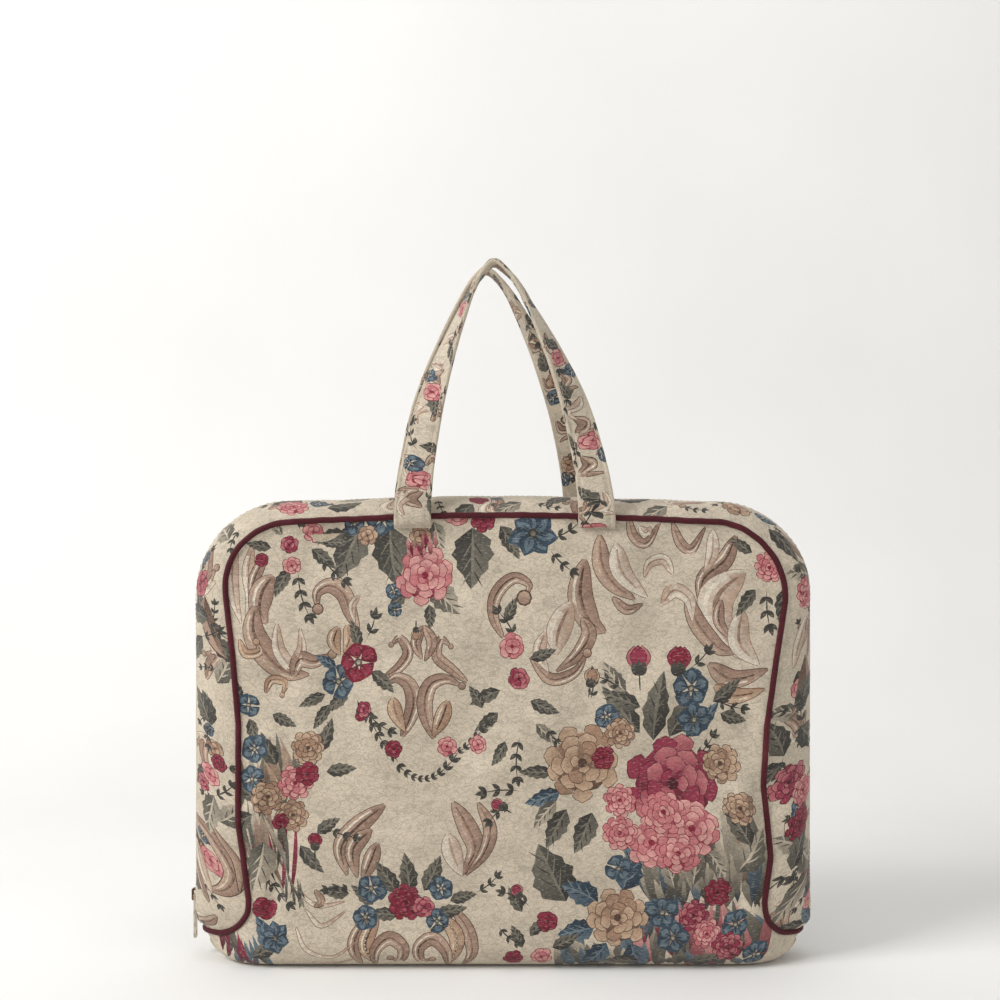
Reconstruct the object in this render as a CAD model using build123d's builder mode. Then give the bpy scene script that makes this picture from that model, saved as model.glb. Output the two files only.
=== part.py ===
"""A zipped tapestry toiletry bag with piped seams and two cloth handles.

Millimetres, +Z up. The front faces -Y, and the origin is at the middle of the base.
"""
import os
from math import cos, hypot, pi, sin

from build123d import *

os.makedirs("parts", exist_ok=True)

# Cloth and seam sizes
cloth_thickness = 2.2
lining_thickness = 0.9
lining_gap = 0.3
lining_margin = 6.0
piping_diameter = 4.0
seam_clearance = 0.6

# Zipper ridge, round the outside of the gusset
ridge_width = 406.0
ridge_top = 305.0
ridge_low = 27.0
ridge_corner_drop = 6.0
ridge_corner_radius = 62.0
ridge_arch_radius = 2000.0
zip_opening = 11.4
gusset_bulge_share = 0.17

# Lower end of the gusset, where the seam turns across it
end_setback = 6.0
end_reach = 32.0
end_height = 20.0
end_flat = 24.0
end_bend_radius = 26.0
end_bend_share = 0.7
end_turn_radius = 16.0
end_turn_share = 0.43

# Main panel: front, base and back in one
seam_depth = 62.0
seam_top = 294.0
seam_flare = 16.0
seam_corner_drop = 8.0
seam_corner_radius = 44.0
seam_arch_radius = 1700.0
base_edge_radius = 16.0
fold_radius = 18.0

# Runs of a gusset strip's left half, in stations: edge and share along the seam and the ridge
end_run_shares = (
    (1, 0.5, 0, 0.0),
    (3, 0.15, 0, 0.06),
    (3, 0.5, 0, 0.12),
    (3, 0.85, 0, 0.18),
    (4, 0.0, 0, 0.22),
)
side_run_shares = ((4, 0.0, 0, 0.22), (4, 1.0, 0, 1.0))
corner_run_shares = (
    (5, 0.0, 1, 0.0),
    (5, 0.25, 1, 0.25),
    (5, 0.5, 1, 0.5),
    (5, 0.75, 1, 0.75),
    (5, 1.0, 1, 1.0),
)
top_run_shares = ((6, 0.0, 2, 0.0), (7, 0.0, 3, 0.0), (7, 0.5, 3, 0.5))

# Zipper chain, one half each side of the slot
chain_slot = 1.0
coil_width = 2.6
coil_height = 2.2
tape_width = 7.4
tape_thickness = 0.7
tape_depth = 3.4
stop_length = 4.0
stop_wall = 0.6

# Zipper slider and its pull
slider_height = 40.0
slider_length = 11.0
slider_plate = 1.2
slider_flange = 1.0
slider_clearance = 0.4
slider_post = 0.5
slider_post_length = 4.0
slider_corner_radius = 2.4
bail_length = 8.0
bail_width = 2.4
bail_band = 1.3
bail_corner_radius = 1.2
pull_bar_diameter = 1.6
pull_bar_clearance = 0.3
pull_width = 7.4
pull_length = 29.0
pull_thickness = 1.2
pull_slot_width = 3.4
pull_slot_reach = 5.6
pull_tip_radius = 3.0
pull_hole_diameter = 3.4

# Handles, front and back
strap_width = 24.0
strap_thickness = 4.0
strap_edge_radius = 1.4
strap_clearance = 0.35
foot_left = -58.0
foot_right = 60.0
foot_height = 284.0
handle_top = 459.0
apex_across = -6.0
apex_depth = 13.2
back_handle_shift = -6.0
# Each station up a leg: share of the way out to the foot, of the rise and of the turn on to edge
leg_shares = (
    (1.0, 0.0, 0.0),
    (1.0, 0.1, 0.0),
    (0.93, 0.25, 0.1),
    (0.8, 0.45, 0.35),
    (0.62, 0.63, 0.6),
    (0.42, 0.79, 0.8),
    (0.23, 0.92, 0.95),
    (0.08, 0.985, 1.0),
)

# One overrun serves all cuts
overrun = 20.0

# Widths that follow from the ridge, and bends that the run across the end limits
end_width = ridge_width - 2 * end_setback
seam_low_width = end_width - 2 * end_reach
seam_top_width = seam_low_width + 2 * seam_flare
end_run = hypot(end_reach, (seam_depth - end_flat) / 2)
end_radius = min(end_bend_radius, end_run * end_bend_share)
end_corner_radius = min(end_turn_radius, end_run * end_turn_share)


def seam_wire(inset):
    """Front seam from the left end to the right one, moved towards the panel by inset."""
    low = seam_low_width / 2 - inset
    top = seam_top_width / 2 - inset
    height = end_height - inset
    front = -seam_depth / 2
    left = [
        (-end_width / 2, 0, height),
        (-end_width / 2, -end_flat / 2, height),
        (-low, front, height),
        (-top, front, seam_top - seam_corner_drop - inset),
    ]
    right = [(-x, y, z) for x, y, z in reversed(left)]
    bends = [end_corner_radius, end_radius + inset, seam_corner_radius - inset]
    with BuildLine() as route:
        FilletPolyline(
            *left,
            (0, front, seam_top - inset),
            *right,
            radius=[*bends, seam_arch_radius, *reversed(bends)],
        )
    return route.wire()


def ridge_wire(depth, across, low):
    """Zipper line from the left end over the top to the right end, depth below the ridge."""
    side = ridge_width / 2 - depth
    shoulder = ridge_top - ridge_corner_drop - depth
    bend = ridge_corner_radius - depth
    with BuildLine() as route:
        FilletPolyline(
            (-side, across, low),
            (-side, across, shoulder),
            (0, across, ridge_top - depth),
            (side, across, shoulder),
            (side, across, low),
            radius=[bend, ridge_arch_radius, bend],
        )
    return route.wire()


def set_in(points, inset):
    """Corners of a convex outline with every side moved inwards by inset."""
    moved = []
    for index, corner in enumerate(points):
        before = (points[index - 1] - corner).normalized()
        after = (points[(index + 1) % len(points)] - corner).normalized()
        moved.append(corner + (before + after) * (inset / before.cross(after).length))
    return moved


def plan_face(height, rise, inset):
    """Outline of the bag's body at one height, set in by inset; rise is the height's share."""
    fold = (seam_low_width + (seam_top_width - seam_low_width) * rise) / 2
    end = fold + (end_width - seam_low_width) / 2
    quarter = [Vector(-end, -end_flat / 2), Vector(-fold, -seam_depth / 2)]
    front = quarter + [Vector(-corner.X, corner.Y) for corner in reversed(quarter)]
    corners = set_in(front + [Vector(-corner.X, -corner.Y) for corner in front], inset)
    with BuildSketch(Plane.XY.offset(height)) as plan:
        Polygon(*corners, align=None)
    return plan.sketch


def bag_body(inset):
    """The bag's body as a solid with rounded folds and base edge, set in all round by inset."""
    with BuildPart() as body:
        add(plan_face(inset, 0, inset))
        add(plan_face(seam_top + overrun, 1, inset))
        loft(ruled=True)
        folds = body.edges().filter_by(lambda edge: edge.bounding_box().size.Z > base_edge_radius)
        fillet(folds, fold_radius - inset)
        base = body.faces().sort_by(Axis.Z)[0]
        fillet(base.edges(), base_edge_radius - inset)
    return body.part


def panel_window(inset):
    """What the seams leave of the body: front, base and back, trimmed inset from the seam."""
    end_arc = seam_wire(inset).edges()[3]
    low = end_arc @ 0
    high = end_arc @ 1
    reach = high.X - low.X
    climb = high.Z - low.Z
    end = ridge_width / 2 + overrun
    top = seam_top_width / 2 - inset
    bend = seam_corner_radius - inset
    side = [(high.X, high.Z), (-top, seam_top - seam_corner_drop - inset)]
    with BuildPart() as window:
        with BuildSketch(Plane.XZ):
            with BuildLine():
                EllipticalCenterArc((low.X, high.Z), reach, climb, 270, arc_size=90)
                FilletPolyline(
                    *side,
                    (0, seam_top - inset),
                    *[(-x, z) for x, z in reversed(side)],
                    radius=[bend, seam_arch_radius, bend],
                )
                EllipticalCenterArc((-low.X, high.Z), reach, climb, 180, arc_size=90)
                Polyline(
                    (-low.X, low.Z),
                    (end, low.Z),
                    (end, -overrun),
                    (-end, -overrun),
                    (-end, low.Z),
                    (low.X, low.Z),
                )
            make_face()
        extrude(amount=seam_depth, both=True)
    return window.part


def strip_section(start, finish, along):
    """Cross-section of a gusset strip, bowed outwards between the seam and the zipper."""
    chord = finish - start
    outward = along.cross(chord)
    reach = chord.length
    bow = reach * gusset_bulge_share
    radius = (reach**2 / 4 + bow**2) / (2 * bow)
    inner_share = 1 - cloth_thickness / radius
    inner_half = reach / 2 * inner_share
    inner_drop = (bow - radius) * (1 - inner_share)
    with BuildSketch(Plane(origin=start, x_dir=chord, z_dir=chord.cross(outward))) as section:
        with BuildLine():
            ThreePointArc((0, 0), (reach / 2, bow), (reach, 0))
            Line((reach, 0), (reach / 2 + inner_half, inner_drop))
            ThreePointArc(
                (reach / 2 + inner_half, inner_drop),
                (reach / 2, bow - cloth_thickness),
                (reach / 2 - inner_half, inner_drop),
            )
            Line((reach / 2 - inner_half, inner_drop), (0, 0))
        make_face()
    return section.sketch


def strip_station(seam_runs, ridge_runs, seam_edge, seam_share, ridge_edge, ridge_share):
    """Section of a strip between one place on the seam and one on the ridge."""
    seam_run = seam_runs[seam_edge]
    ridge_run = ridge_runs[ridge_edge]
    along = seam_run % seam_share + ridge_run % ridge_share
    return strip_section(seam_run @ seam_share, ridge_run @ ridge_share, along)


def zip_run(across, width, depth, thickness, low):
    """A flat run of zipper, swept round the ridge at a depth below it."""
    with BuildPart() as run:
        with BuildSketch(Plane.XY.offset(low)):
            with Locations((-ridge_width / 2 + depth + thickness / 2, across)):
                Rectangle(thickness, width)
        sweep(path=ridge_wire(depth, 0, low))
    return run.part


def strap_point(foot, out_share, rise_share):
    """Middle of the strap at one station of the leg that stands on the given foot."""
    return Vector(
        apex_across + (foot - apex_across) * out_share,
        foot_front - (apex_depth + foot_front) * max(rise_share - leg_shares[1][1], 0),
        foot_height + handle_rise * rise_share,
    )


def write(builder, name):
    """Label a finished piece and write it to its own file."""
    builder.part.label = name
    export_step(builder.part, f"parts/{name}.step")


# Main panel: one length of cloth down the front, under the base and up the back
seam_gap = piping_diameter / 2 + seam_clearance
panel_outer = bag_body(0)
panel_inner = bag_body(cloth_thickness)
panel_trim = panel_window(seam_gap)
with BuildPart() as main_panel:
    add(panel_outer)
    add(panel_inner, mode=Mode.SUBTRACT)
    add(panel_trim, mode=Mode.INTERSECT)
write(main_panel, "main_panel")

# Lining, laid inside the main panel
lining_outer = bag_body(cloth_thickness + lining_gap)
lining_inner = bag_body(cloth_thickness + lining_gap + lining_thickness)
lining_trim = panel_window(seam_gap + lining_margin)
with BuildPart() as lining:
    add(lining_outer)
    add(lining_inner, mode=Mode.SUBTRACT)
    add(lining_trim, mode=Mode.INTERSECT)
write(lining, "lining")

# Gusset: a strip each side of the zipper, from one lower end over the top to the other
strip_seam = seam_wire(-seam_gap - cloth_thickness / 2).edges()
strip_ridge = ridge_wire(0, -zip_opening / 2, ridge_low).edges()
last_seam = len(strip_seam) - 1
last_ridge = len(strip_ridge) - 1
left_runs = [end_run_shares, side_run_shares, corner_run_shares]
top_run = list(top_run_shares)
for seam_edge, seam_share, ridge_edge, ridge_share in reversed(top_run_shares[:-1]):
    top_run.append((last_seam - seam_edge, 1 - seam_share, last_ridge - ridge_edge, 1 - ridge_share))
with BuildPart() as left_strip:
    for run in left_runs:
        for station in run:
            add(strip_station(strip_seam, strip_ridge, *station))
        loft()
right_strip = mirror(left_strip.part, about=Plane.YZ)
with BuildPart() as gusset_front:
    for station in top_run:
        add(strip_station(strip_seam, strip_ridge, *station))
    loft()
    add(left_strip.part)
    add(right_strip)
write(gusset_front, "gusset_front")

back_strip = mirror(gusset_front.part, about=Plane.XZ)
with BuildPart() as gusset_back:
    add(back_strip)
write(gusset_back, "gusset_back")

# Piping: one closed cord in the seam, round the front, across both ends and round the back
front_seam = seam_wire(0)
back_seam = mirror(front_seam, about=Plane.XZ)
with BuildPart() as piping:
    with BuildLine():
        add(front_seam)
        add(back_seam)
    with BuildSketch(Plane(origin=front_seam @ 0.5, z_dir=front_seam % 0.5)):
        Circle(piping_diameter / 2)
    sweep()
write(piping, "piping")

# Zipper tapes and coils, one of each on either side of the slot
tape_across = (chain_slot + tape_width) / 2
coil_across = (chain_slot + coil_width) / 2
coil_depth = tape_depth - coil_height
coil_low = ridge_low + stop_length
for side, sign in (("front", -1), ("back", 1)):
    with BuildPart() as zip_tape:
        add(zip_run(sign * tape_across, tape_width, tape_depth, tape_thickness, ridge_low))
    write(zip_tape, f"zip_tape_{side}")
    with BuildPart() as zip_coil:
        add(zip_run(sign * coil_across, coil_width, coil_depth, coil_height, coil_low))
    write(zip_coil, f"zip_coil_{side}")

# Zipper stops: one on each tape at the left end, and one across both at the right end
ridge_left = -ridge_width / 2
stop_height = coil_height + stop_wall
stop_middle = tape_depth - stop_height / 2
stop_width = coil_width + stop_wall
stop_low = Plane.XY.offset(ridge_low)
with BuildPart() as zip_top_stops:
    with BuildSketch(stop_low):
        with Locations((ridge_left + stop_middle, 0)):
            with GridLocations(0, chain_slot + stop_width, 1, 2):
                RectangleRounded(stop_height, stop_width, stop_wall)
    extrude(amount=stop_length)
write(zip_top_stops, "zip_top_stops")

with BuildPart() as zip_bottom_stop:
    with BuildSketch(stop_low):
        with Locations((-ridge_left - stop_middle, 0)):
            RectangleRounded(stop_height, chain_slot + 2 * stop_width, stop_wall)
    extrude(amount=stop_length)
write(zip_bottom_stop, "zip_bottom_stop")

# Zipper slider: two plates joined by a thin post in the slot, with flanges and a bail outside
slider_width = chain_slot + 2 * (coil_width + slider_clearance + slider_flange)
plate_inside = ridge_left + coil_depth - slider_clearance
plate_outside = plate_inside - slider_plate
under_plate = ridge_left + tape_depth + tape_thickness + slider_clearance
flange_depth = coil_height - 2 * slider_clearance
slider_place = (0, slider_height)
bail_rise = pull_bar_diameter + 2 * pull_bar_clearance
with BuildPart() as zip_slider:
    with BuildSketch(Plane.YZ.offset(plate_outside)):
        with Locations(slider_place):
            RectangleRounded(slider_width, slider_length, slider_corner_radius)
    extrude(amount=slider_plate)
    with BuildSketch(Plane.YZ.offset(under_plate)):
        with Locations(slider_place):
            RectangleRounded(slider_width, slider_length, slider_corner_radius)
    extrude(amount=slider_plate)
    with BuildSketch(Plane.YZ.offset(plate_inside)):
        with Locations(slider_place):
            with GridLocations(slider_width - slider_flange, 0, 2, 1):
                Rectangle(slider_flange, slider_length - 2 * slider_corner_radius)
    extrude(amount=slider_clearance + flange_depth)
    with BuildSketch(Plane.YZ.offset(plate_inside)):
        with Locations(slider_place):
            Rectangle(slider_post, slider_post_length)
    extrude(amount=under_plate - plate_inside)
    with BuildSketch(Plane.XZ):
        with Locations((plate_outside - (bail_rise + bail_band) / 2, slider_height)):
            bail = Rectangle(bail_rise + bail_band, bail_length)
        fillet(bail.vertices().sort_by(Axis.X)[:2], bail_corner_radius)
        with Locations((plate_outside - bail_rise / 2, slider_height)):
            Rectangle(bail_rise, bail_length - 2 * bail_band, mode=Mode.SUBTRACT)
    extrude(amount=bail_width / 2, both=True)
write(zip_slider, "zip_slider")

# Zipper pull: a flat tab hung by its crossbar from the bail
pull_axis = plate_outside - bail_rise / 2
with BuildPart() as zip_pull:
    with BuildSketch(Plane.YZ.offset(pull_axis - pull_thickness / 2)):
        with Locations((0, slider_height - pull_length / 2)):
            tab = Rectangle(pull_width, pull_length)
        fillet(tab.vertices().sort_by(Axis.Z)[:2], pull_tip_radius)
        with Locations((0, slider_height - pull_slot_reach / 2)):
            Rectangle(pull_slot_width, pull_slot_reach, mode=Mode.SUBTRACT)
        with Locations((0, slider_height - pull_length + pull_width / 2)):
            Circle(pull_hole_diameter / 2, mode=Mode.SUBTRACT)
    extrude(amount=pull_thickness)
    with BuildSketch(Plane.XZ):
        with Locations((pull_axis, slider_height)):
            Circle(pull_bar_diameter / 2)
    extrude(amount=pull_width / 2, both=True)
write(zip_pull, "zip_pull")

# Handles: a flat strap sewn on at both feet, turned on to its edge where it hangs
foot_front = -(seam_depth + piping_diameter + strap_thickness) / 2 - strap_clearance
handle_rise = handle_top - strap_thickness / 2 - foot_height
left_leg = [strap_point(foot_left, out, rise) for out, rise, turn in leg_shares]
right_leg = [strap_point(foot_right, out, rise) for out, rise, turn in leg_shares]
strap_route = [*left_leg, strap_point(apex_across, 0, 1), *reversed(right_leg)]
turn_shares = [turn for out, rise, turn in leg_shares]
strap_turns = [*turn_shares, 1, *reversed(turn_shares)]
with BuildPart() as handle_front:
    for index, place in enumerate(strap_route):
        before = strap_route[max(index - 1, 0)]
        after = strap_route[min(index + 1, len(strap_route) - 1)]
        along = (after - before).normalized()
        inward = Vector(along.Z, 0, -along.X).normalized()
        turn = strap_turns[index] * pi / 2
        width_way = inward * cos(turn) - Vector(0, sin(turn), 0)
        with BuildSketch(Plane(origin=place, x_dir=width_way, z_dir=along)):
            RectangleRounded(strap_width, strap_thickness, strap_edge_radius)
    loft()
write(handle_front, "handle_front")

back_strap = mirror(handle_front.part, about=Plane.XZ)
with BuildPart() as handle_back:
    with Locations((back_handle_shift, 0)):
        add(back_strap)
write(handle_back, "handle_back")
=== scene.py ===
"""Dresses the tapestry toiletry bag: printed cloth, piping, straps, zipper and stitching."""
import cmath
import math
import random

import bpy
import numpy as np
from mathutils.bvhtree import BVHTree
from mathutils.geometry import delaunay_2d_cdt
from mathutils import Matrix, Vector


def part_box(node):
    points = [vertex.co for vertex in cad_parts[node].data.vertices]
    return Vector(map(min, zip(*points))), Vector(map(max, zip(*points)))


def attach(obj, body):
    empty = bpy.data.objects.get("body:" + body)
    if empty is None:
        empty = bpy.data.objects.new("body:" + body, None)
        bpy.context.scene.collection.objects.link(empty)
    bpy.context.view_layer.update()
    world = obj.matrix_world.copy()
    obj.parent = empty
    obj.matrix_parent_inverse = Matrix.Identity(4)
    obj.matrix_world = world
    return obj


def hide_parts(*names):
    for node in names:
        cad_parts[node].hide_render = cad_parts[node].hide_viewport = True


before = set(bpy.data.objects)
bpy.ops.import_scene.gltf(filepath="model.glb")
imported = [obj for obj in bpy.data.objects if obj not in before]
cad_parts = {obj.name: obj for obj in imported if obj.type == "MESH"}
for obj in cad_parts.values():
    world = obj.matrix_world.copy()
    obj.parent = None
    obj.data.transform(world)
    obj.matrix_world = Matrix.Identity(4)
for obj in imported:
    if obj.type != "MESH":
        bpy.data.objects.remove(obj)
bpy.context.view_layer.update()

# Sizes are in millimetres until a mesh is made
MM = 0.001
TAU = 2 * math.pi


def unit(vectors):
    """Vectors brought to length 1; those without length stay zero."""
    return vectors / np.maximum(np.linalg.norm(vectors, axis=-1, keepdims=True), 1e-9)


def read_line(length, marks, line):
    """Places on a line at lengths along it, from its points and the length at each."""
    return np.stack([np.interp(length, marks, axis) for axis in line.T], axis=-1)


def node_box(name):
    """Lowest and highest corner of a CAD node, in millimetres."""
    low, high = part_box(name)
    return np.array(low) / MM, np.array(high) / MM


# Sizes read from the frame
piping_low, piping_high = node_box("piping")
tape_low, tape_high = node_box("zip_tape_front")
coil_low, coil_high = node_box("zip_coil_front")
strap_low, strap_high = node_box("handle_front")
piping_radius = 2.0
seam_front = piping_low[1] + piping_radius
end_side = piping_high[0] - piping_radius
tape_depth = 3.4
ridge_side = tape_high[0] + tape_depth
ridge_low = tape_low[2]
strap_thickness = 4.0
middle_height = 120.0
bag_middle = np.array([0, 0, ridge_low + middle_height])
handle_top = strap_high[2] - strap_thickness / 2

# Seam corners, from the lower end of the gusset to the top of the bag
end_height = 20.0
end_flat = 12.0
seam_low_side = 165.0
seam_top_side = 181.0
seam_shoulder = 286.0
seam_top = 294.0
end_corner_radius = 16.0
end_radius = 26.0
seam_corner_radius = 44.0
seam_arch_radius = 1700.0

# Zipper ridge corners
ridge_shoulder = 299.0
ridge_top = 305.0
ridge_corner_radius = 62.0
ridge_arch_radius = 2000.0
ridge_across = 5.7


class Route:
    """A line with its inner corners rounded, read by the length along it."""

    def __init__(self, corners, radii):
        corners = [np.array(corner, float) for corner in corners]
        points = [corners[0]]
        bends = []
        for before, corner, after, radius in zip(corners, corners[1:], corners[2:], radii):
            back = (before - corner) / np.linalg.norm(before - corner)
            ahead = (after - corner) / np.linalg.norm(after - corner)
            half = math.acos(np.clip(back @ ahead, -1, 1)) / 2
            start = corner + back * radius / math.tan(half)
            end = corner + ahead * radius / math.tan(half)
            way = (back + ahead) / np.linalg.norm(back + ahead)
            middle = corner + way * radius / math.sin(half)
            turn = math.pi - 2 * half
            steps = 2 * max(2, round(turn * 10))
            bends.append((len(points), len(points) + steps))
            for step in range(steps + 1):
                angle = turn * step / steps
                spokes = (start - middle) * math.sin(turn - angle) + (end - middle) * math.sin(angle)
                points.append(middle + spokes / math.sin(turn))
        points.append(corners[-1])
        self.points = np.array(points)
        runs = np.linalg.norm(np.diff(self.points, axis=0), axis=1)
        self.marks = np.concatenate([[0], np.cumsum(runs)])
        self.bends = [(self.marks[first], self.marks[last]) for first, last in bends]
        self.length = self.marks[-1]

    def at(self, length):
        """Places at lengths along the route."""
        return read_line(length, self.marks, self.points)

    def along(self, length):
        """Directions of the route at lengths along it."""
        step = self.length / 1000
        length = np.clip(length, 0, self.length)
        return unit(self.at(length + step) - self.at(length - step))


def seam_route(inset):
    """The front seam from the left end over the top to the right end, moved in by inset."""
    height = end_height - inset
    left = [
        (-end_side, 0, height),
        (-end_side, -end_flat, height),
        (-seam_low_side + inset, seam_front, height),
        (-seam_top_side + inset, seam_front, seam_shoulder - inset),
    ]
    right = [(-x, y, z) for x, y, z in reversed(left)]
    corners = [*left, (0, seam_front, seam_top - inset), *right]
    bends = [end_corner_radius, end_radius + inset, seam_corner_radius - inset]
    return Route(corners, [*bends, seam_arch_radius, *reversed(bends)])


def ridge_route(depth, across):
    """The zipper line over the bag, depth below the ridge and across from its middle."""
    side = ridge_side - depth
    left = [(-side, across, ridge_low), (-side, across, ridge_shoulder - depth)]
    right = [(-x, y, z) for x, y, z in reversed(left)]
    bend = ridge_corner_radius - depth
    return Route([*left, (0, across, ridge_top - depth), *right], [bend, ridge_arch_radius, bend])


def smooth(share):
    """An ease from 0 to 1."""
    share = np.clip(share, 0, 1)
    return share * share * (3 - 2 * share)


def ripple(across, along, size, seed):
    """Soft irregular waves of about one size, between -1 and 1."""
    chance = random.Random(seed)
    total = 0
    count = 7
    for _ in range(count):
        way = cmath.rect(TAU / (size * chance.uniform(0.7, 1.5)), chance.uniform(0, math.pi))
        total = total + np.sin(way.real * across + way.imag * along + chance.uniform(0, TAU))
    return total / count**0.5 / 1.4


def ripples(across, along, waves):
    """Several ripples together, by height, size and seed."""
    return sum(height * ripple(across, along, size, seed) for height, size, seed in waves)


def puckers(seam, across, along, height, pitch, size, seed):
    """Small folds that stand across a seam, unevenly spaced along it."""
    return height * np.sin(seam / pitch + 2 * ripple(across, along, size, seed))


def fold(across, along, start, end, width, height):
    """A soft ridge, or a dip where height is negative, along a straight line."""
    run = end - start
    share = ((across - start.real) * run.real + (along - start.imag) * run.imag) / abs(run) ** 2
    off = ((across - start.real) * run.imag - (along - start.imag) * run.real) / abs(run)
    end_share = 0.3
    fade = smooth(share / end_share) * smooth((1 - share) / end_share)
    return height * fade * np.exp(-((off / width) ** 2))


# Sway of the soft side seams: heights and how far each side moves across there
sway_heights = (0, 18, 36, 72, 94, 118, 156, 200, 238, 272, 300)
right_sway = (0, 0, 1.0, 4.0, 0.5, -3.5, -3.5, 0, 3.5, 0.5, 0)
left_sway = (0, 1.5, 3.5, 1.0, -1.0, 0.5, 3.0, 2.0, 0, -1.5, 0)
sway_full_depth = 30.0
sway_free_depth = 9.0
sway_full_side = 150.0
sway_free_side = 60.0


def swayed(points):
    """Places on the bag moved across as its side seams sway; the zipper ridge stays."""
    x, y, z = points[:, 0], points[:, 1], points[:, 2]
    deep = smooth((np.abs(y) - sway_free_depth) / (sway_full_depth - sway_free_depth))
    wide = smooth((np.abs(x) - sway_free_side) / (sway_full_side - sway_free_side))
    right = np.interp(z, sway_heights, right_sway)
    left = np.interp(z, sway_heights, left_sway)
    shift = np.where(x > 0, np.where(y < 0, right, -left), np.where(y < 0, left, -right))
    return np.stack([x + shift * deep * wide, y, z], axis=-1)


# Main panel: the front half runs from the top seam to the middle of the base
edge_tuck = 0.9
crown_depth = 8.5
crown_below = 40.0
crown_power = 0.8
arch_fade = 120.0
base_radius = 20.0
side_roundness = 2.4
base_roundness = 36.0
panel_seam = seam_route(edge_tuck)
lower_end = panel_seam.bends[1][1]
upper_end = panel_seam.bends[2][1]
edge_low = panel_seam.at(lower_end)[2]
edge_top = panel_seam.at(upper_end)[2]
edge_lengths = np.linspace(lower_end, upper_end, 400)
edge_upper = panel_seam.at(edge_lengths)
arch_lengths = np.linspace(upper_end, panel_seam.length - upper_end, 200)
arch_places = panel_seam.at(arch_lengths)


def crown(height):
    """How far the middle of the front stands out beyond the seam."""
    share = (edge_top - height) / (edge_top + crown_below)
    return crown_depth * np.sin(math.pi * np.clip(share, 0, 1)) ** crown_power


def half_height(height):
    """Heights on the cloth, with those of the back half turned over onto the front half."""
    return np.where(height < cloth_middle, 2 * cloth_middle - height, height)


base_front = seam_front - crown(edge_low)
base_route = Route([(base_front, edge_low), (base_front, 0), (0, 0)], [base_radius])
cloth_middle = edge_low - base_route.length


def panel_edge(height):
    """Left edge of the front half at a height on the cloth."""
    upper = read_line(height, edge_upper[:, 2], edge_upper)
    share = np.clip((edge_low - height) / (edge_low - cloth_middle), 0, 1)
    lower = panel_seam.at(lower_end * (1 - share))
    return np.where((height > edge_low)[:, None], upper, lower), share


def panel_place(across, height):
    """Places on the undisturbed panel: across from -1 to 1, and a height on the cloth."""
    behind = height < cloth_middle
    height = half_height(height)
    edge, share = panel_edge(height)
    base = base_route.at(share * base_route.length)
    upper = height > edge_low
    middle_y = np.where(upper, seam_front - crown(height), base[:, 0])
    middle_z = np.where(upper, height, base[:, 1])
    weight = np.abs(across) ** (side_roundness + (base_roundness - side_roundness) * share**1.2)
    x = np.abs(edge[:, 0]) * across
    y = middle_y + (edge[:, 1] - middle_y) * weight
    z = middle_z + (edge[:, 2] - middle_z) * weight
    rise = np.interp(x, arch_places[:, 0], arch_places[:, 2], left=edge_top, right=edge_top) - edge_top
    z = z + rise * smooth(1 - (edge_top - height) / arch_fade)
    return swayed(np.stack([x, np.where(behind, -y, y), z], axis=-1))


# The photograph's pixels on the front of the bag: the middle, the floor and the size of one
middle_px = 503
floor_px = 972
px_size = 0.64


def photo(px, py):
    """Place on the front of the bag of a point in the photograph, across and up."""
    return complex((px - middle_px) * px_size, (floor_px - py) * px_size)


# Folds of the front, from where the photograph shows them: line, width and height
front_folds = (
    (photo(268, 700), photo(232, 980), 7.0, 5.2),
    (photo(300, 790), photo(246, 975), 4.5, -3.4),
    (photo(744, 740), photo(764, 985), 7.0, 5.0),
    (photo(728, 840), photo(758, 975), 4.5, -3.2),
    (photo(618, 560), photo(715, 604), 11.0, -3.4),
    (photo(596, 530), photo(640, 650), 9.0, 2.2),
    (photo(690, 540), photo(742, 640), 9.0, 2.2),
    (photo(412, 530), photo(380, 660), 9.0, 2.0),
    (photo(300, 550), photo(350, 670), 11.0, -2.2),
    (photo(420, 905), photo(640, 930), 11.0, 2.0),
    (photo(470, 810), photo(570, 690), 15.0, 2.4),
    (photo(330, 880), photo(470, 960), 10.0, -1.8),
    (photo(720, 650), photo(768, 740), 6.0, -2.6),
    (photo(236, 640), photo(300, 700), 7.0, -2.2),
)


# Wrinkles of the panel: ripples, puckers and the lengths over which they fade
panel_ripples = ((2.3, 95, 3), (0.7, 34, 5))
panel_puckers = (0.7, 2.6, 40, 8)
back_fold_share = 0.6
seam_cover = 6
pucker_start = 3
pucker_reach = 7
pucker_rise = 40
hold_side = 14
hold_base = 30
hold_rise = 60


def panel_swell(across, height):
    """Wrinkles of the panel: folds, puckers along the seam and an uneven hang."""
    behind = height < cloth_middle
    level = half_height(height)
    half = np.abs(panel_edge(level)[0][:, 0])
    place = np.where(behind, -1, 1) * across * half
    total = ripples(place, height, panel_ripples)
    for start, end, width, tall in front_folds:
        total = total + np.where(behind, back_fold_share, 1) * fold(place, level, start, end, width, tall)
    from_side = (1 - np.abs(across)) * half
    from_top = edge_top + seam_cover - level
    from_base = level - cloth_middle
    inside = np.minimum(from_side, from_top)
    along_seam = np.where(from_side < from_top, level, place)
    seam_folds = puckers(along_seam, place, height, *panel_puckers) * np.exp(-inside / pucker_reach)
    hold = smooth(inside / hold_side) * smooth((from_base - hold_base) / hold_rise)
    return total * hold + seam_folds * smooth(inside / pucker_start) * smooth(from_base / pucker_rise)


def unit_normals(place, one, two, first, second):
    """Unit normals of a surface, from its places a step to each side."""
    across = place(one + first, two) - place(one - first, two)
    along = place(one, two + second) - place(one, two - second)
    return unit(np.cross(across, along))


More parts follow.
